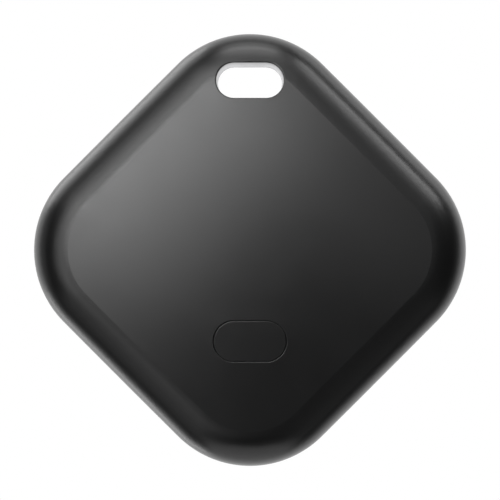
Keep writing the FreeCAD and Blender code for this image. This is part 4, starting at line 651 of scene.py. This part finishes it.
def add_snap_dome():
    """The switch's spring dome, merged from the CAD node and attached to the case; the real dome flattens
    under the plunger when the button is pressed, but this piece keeps its shape.
    """
    merged = bmesh.new()
    merged.from_mesh(frame["nodes"]["switch_dome"].data)
    bmesh.ops.remove_doubles(merged, verts=merged.verts, dist=1e-7)
    mesh = bpy.data.meshes.new("snap_dome")
    merged.to_mesh(mesh)
    merged.free()
    mesh.materials.clear()
    mesh.materials.append(FINISHES["spring_steel"])
    dome = bpy.data.objects.new("snap_dome", mesh)
    bpy.context.scene.collection.objects.link(dome)
    smooth_below(dome, 30)
    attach(dome, "case")
    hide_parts("switch_dome")
    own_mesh(dome)


add_liner()
add_screws()
add_snap_dome()


# ---------------------------------------------------------------- studio
WORLD_EDGE = (0.20, 0.56)
WORLD_FRONT = 0.05
WORLD_BACK = 1.4
LAMP_DISTANCE = 0.6
STRIP = (0.36, 0.10)
TOP, UPPER_LEFT, LEFT, LOWER_LEFT, LOWER_RIGHT, UPPER_RIGHT = 0, 45, 90, 135, 225, -45
# Each side's strip lights, as degrees off the camera's axis and watts. These numbers came first from a
# least-squares fit made by another script, and were then changed by hand; they are not a plain studio set.
STRIPS = {
    UPPER_LEFT: ((9, 0.34), (20, 1.28), (35, 0.42), (44, 0.37), (55, 0.32), (68, 0.19), (82, 0.08),
                 (100, 0.20), (110, 0.16), (118, 0.28), (130, 0.30)),
    UPPER_RIGHT: ((14, 0.10), (27, 0.05), (35, 0.06), (44, 0.06), (55, 0.12), (68, 0.32), (76, 0.22),
                  (84, 0.58), (110, 0.12), (118, 0.08)),
    TOP: ((35, 0.12), (44, 0.15), (55, 0.26), (68, 0.44), (82, 0.66), (97, 0.30)),
    LEFT: ((35, 0.15), (44, 0.23), (55, 0.14), (97, 0.04)),
    LOWER_LEFT: ((27, 0.06), (35, 0.09), (44, 0.09), (55, 0.09), (68, 0.08), (82, 0.05), (118, 0.06),
                 (130, 0.22)),
    LOWER_RIGHT: ((35, 0.01), (44, 0.015), (55, 0.02), (68, 0.03), (82, 0.03)),
}


def add_floor():
    """A pale paper disc well below the tag, out of the picture."""
    radius = 60 * MM
    drop = 110 * MM
    steps = 96
    z = LOWER_TIP_Z - drop
    rim = [(radius * math.cos(2 * math.pi * i / steps), radius * math.sin(2 * math.pi * i / steps), z)
           for i in range(steps)]
    mesh = bpy.data.meshes.new("studio_floor")
    mesh.from_pydata(rim, [], [list(range(steps))])
    floor = bpy.data.objects.new("studio_floor", mesh)
    bpy.context.scene.collection.objects.link(floor)
    mesh.materials.append(moulded_plastic("floor_paper", (0.72, 0.72, 0.72), 0.5, (0.85, 0.95), 0.02,
                                          shade_change=0.04, wear=0.0, scratches=0.0))


def make_world():
    """White behind the tag and dark in front of it; the camera sees plain white."""
    world = bpy.data.worlds.new("studio")
    bpy.context.scene.world = world
    world.use_nodes = True
    world.node_tree.nodes.clear()
    graph = Graph(world.node_tree)
    split = graph.add("ShaderNodeSeparateXYZ")
    graph.feed(graph.add("ShaderNodeTexCoord").outputs["Generated"], split.inputs[0])
    level = graph.spread(split.outputs["Y"], *WORLD_EDGE, WORLD_FRONT, WORLD_BACK)
    lit = graph.add("ShaderNodeBackground")
    graph.feed(level, lit.inputs["Strength"])
    seen = graph.add("ShaderNodeBackground")
    seen.inputs["Color"].default_value = (1, 1, 1, 1)
    choose = graph.add("ShaderNodeMixShader")
    graph.feed(graph.add("ShaderNodeLightPath").outputs["Is Camera Ray"], choose.inputs[0])
    graph.feed(lit.outputs[0], choose.inputs[1])
    graph.feed(seen.outputs[0], choose.inputs[2])
    graph.feed(choose.outputs[0], graph.add("ShaderNodeOutputWorld").inputs["Surface"])


def add_softbox(name, off_axis, turn, size, strength):
    """A strip light facing the tag. off_axis: degrees away from the camera's axis; turn: degrees round it,
    0 at the top, 90 at the left; size: metres round the axis and along the tilt."""
    tilt = math.radians(off_axis)
    round_axis = math.radians(turn)
    radial = Vector((-math.sin(round_axis), 0, math.cos(round_axis)))
    outward = radial * math.sin(tilt) + Vector((0, -math.cos(tilt), 0))
    across = Vector((math.cos(round_axis), 0, math.sin(round_axis)))
    light = bpy.data.lights.new(name, "AREA")
    light.shape = "RECTANGLE"
    light.size, light.size_y = size
    light.energy = strength
    lamp = bpy.data.objects.new(name, light)
    bpy.context.scene.collection.objects.link(lamp)
    facing = Matrix((across, outward.cross(across), outward)).transposed()
    centre = Vector((0, 0, TAG_CENTRE_Z))
    lamp.matrix_world = Matrix.Translation(centre + outward * LAMP_DISTANCE) @ facing.to_4x4()
    lamp.visible_camera = False


add_floor()
make_world()
for side, lamps in STRIPS.items():
    for tilt_off_axis, watts in lamps:
        add_softbox(f"softbox_{side % 360}_{tilt_off_axis}", tilt_off_axis, side, STRIP, watts)


# ---------------------------------------------------------------- camera
def add_camera():
    """A long lens straight in front of the tag's middle."""
    distance = 330 * MM
    camera_data = bpy.data.cameras.new("camera")
    camera_data.sensor_width = 36
    camera_data.lens = 229.2
    camera_data.clip_start = 0.01
    camera_data.dof.use_dof = False
    camera = bpy.data.objects.new("camera", camera_data)
    bpy.context.scene.collection.objects.link(camera)
    camera.location = (0, -distance, TAG_CENTRE_Z)
    camera.rotation_euler = (math.pi / 2, 0, 0)
    bpy.context.scene.camera = camera


add_camera()
bpy.context.scene.view_settings.view_transform = "Standard"
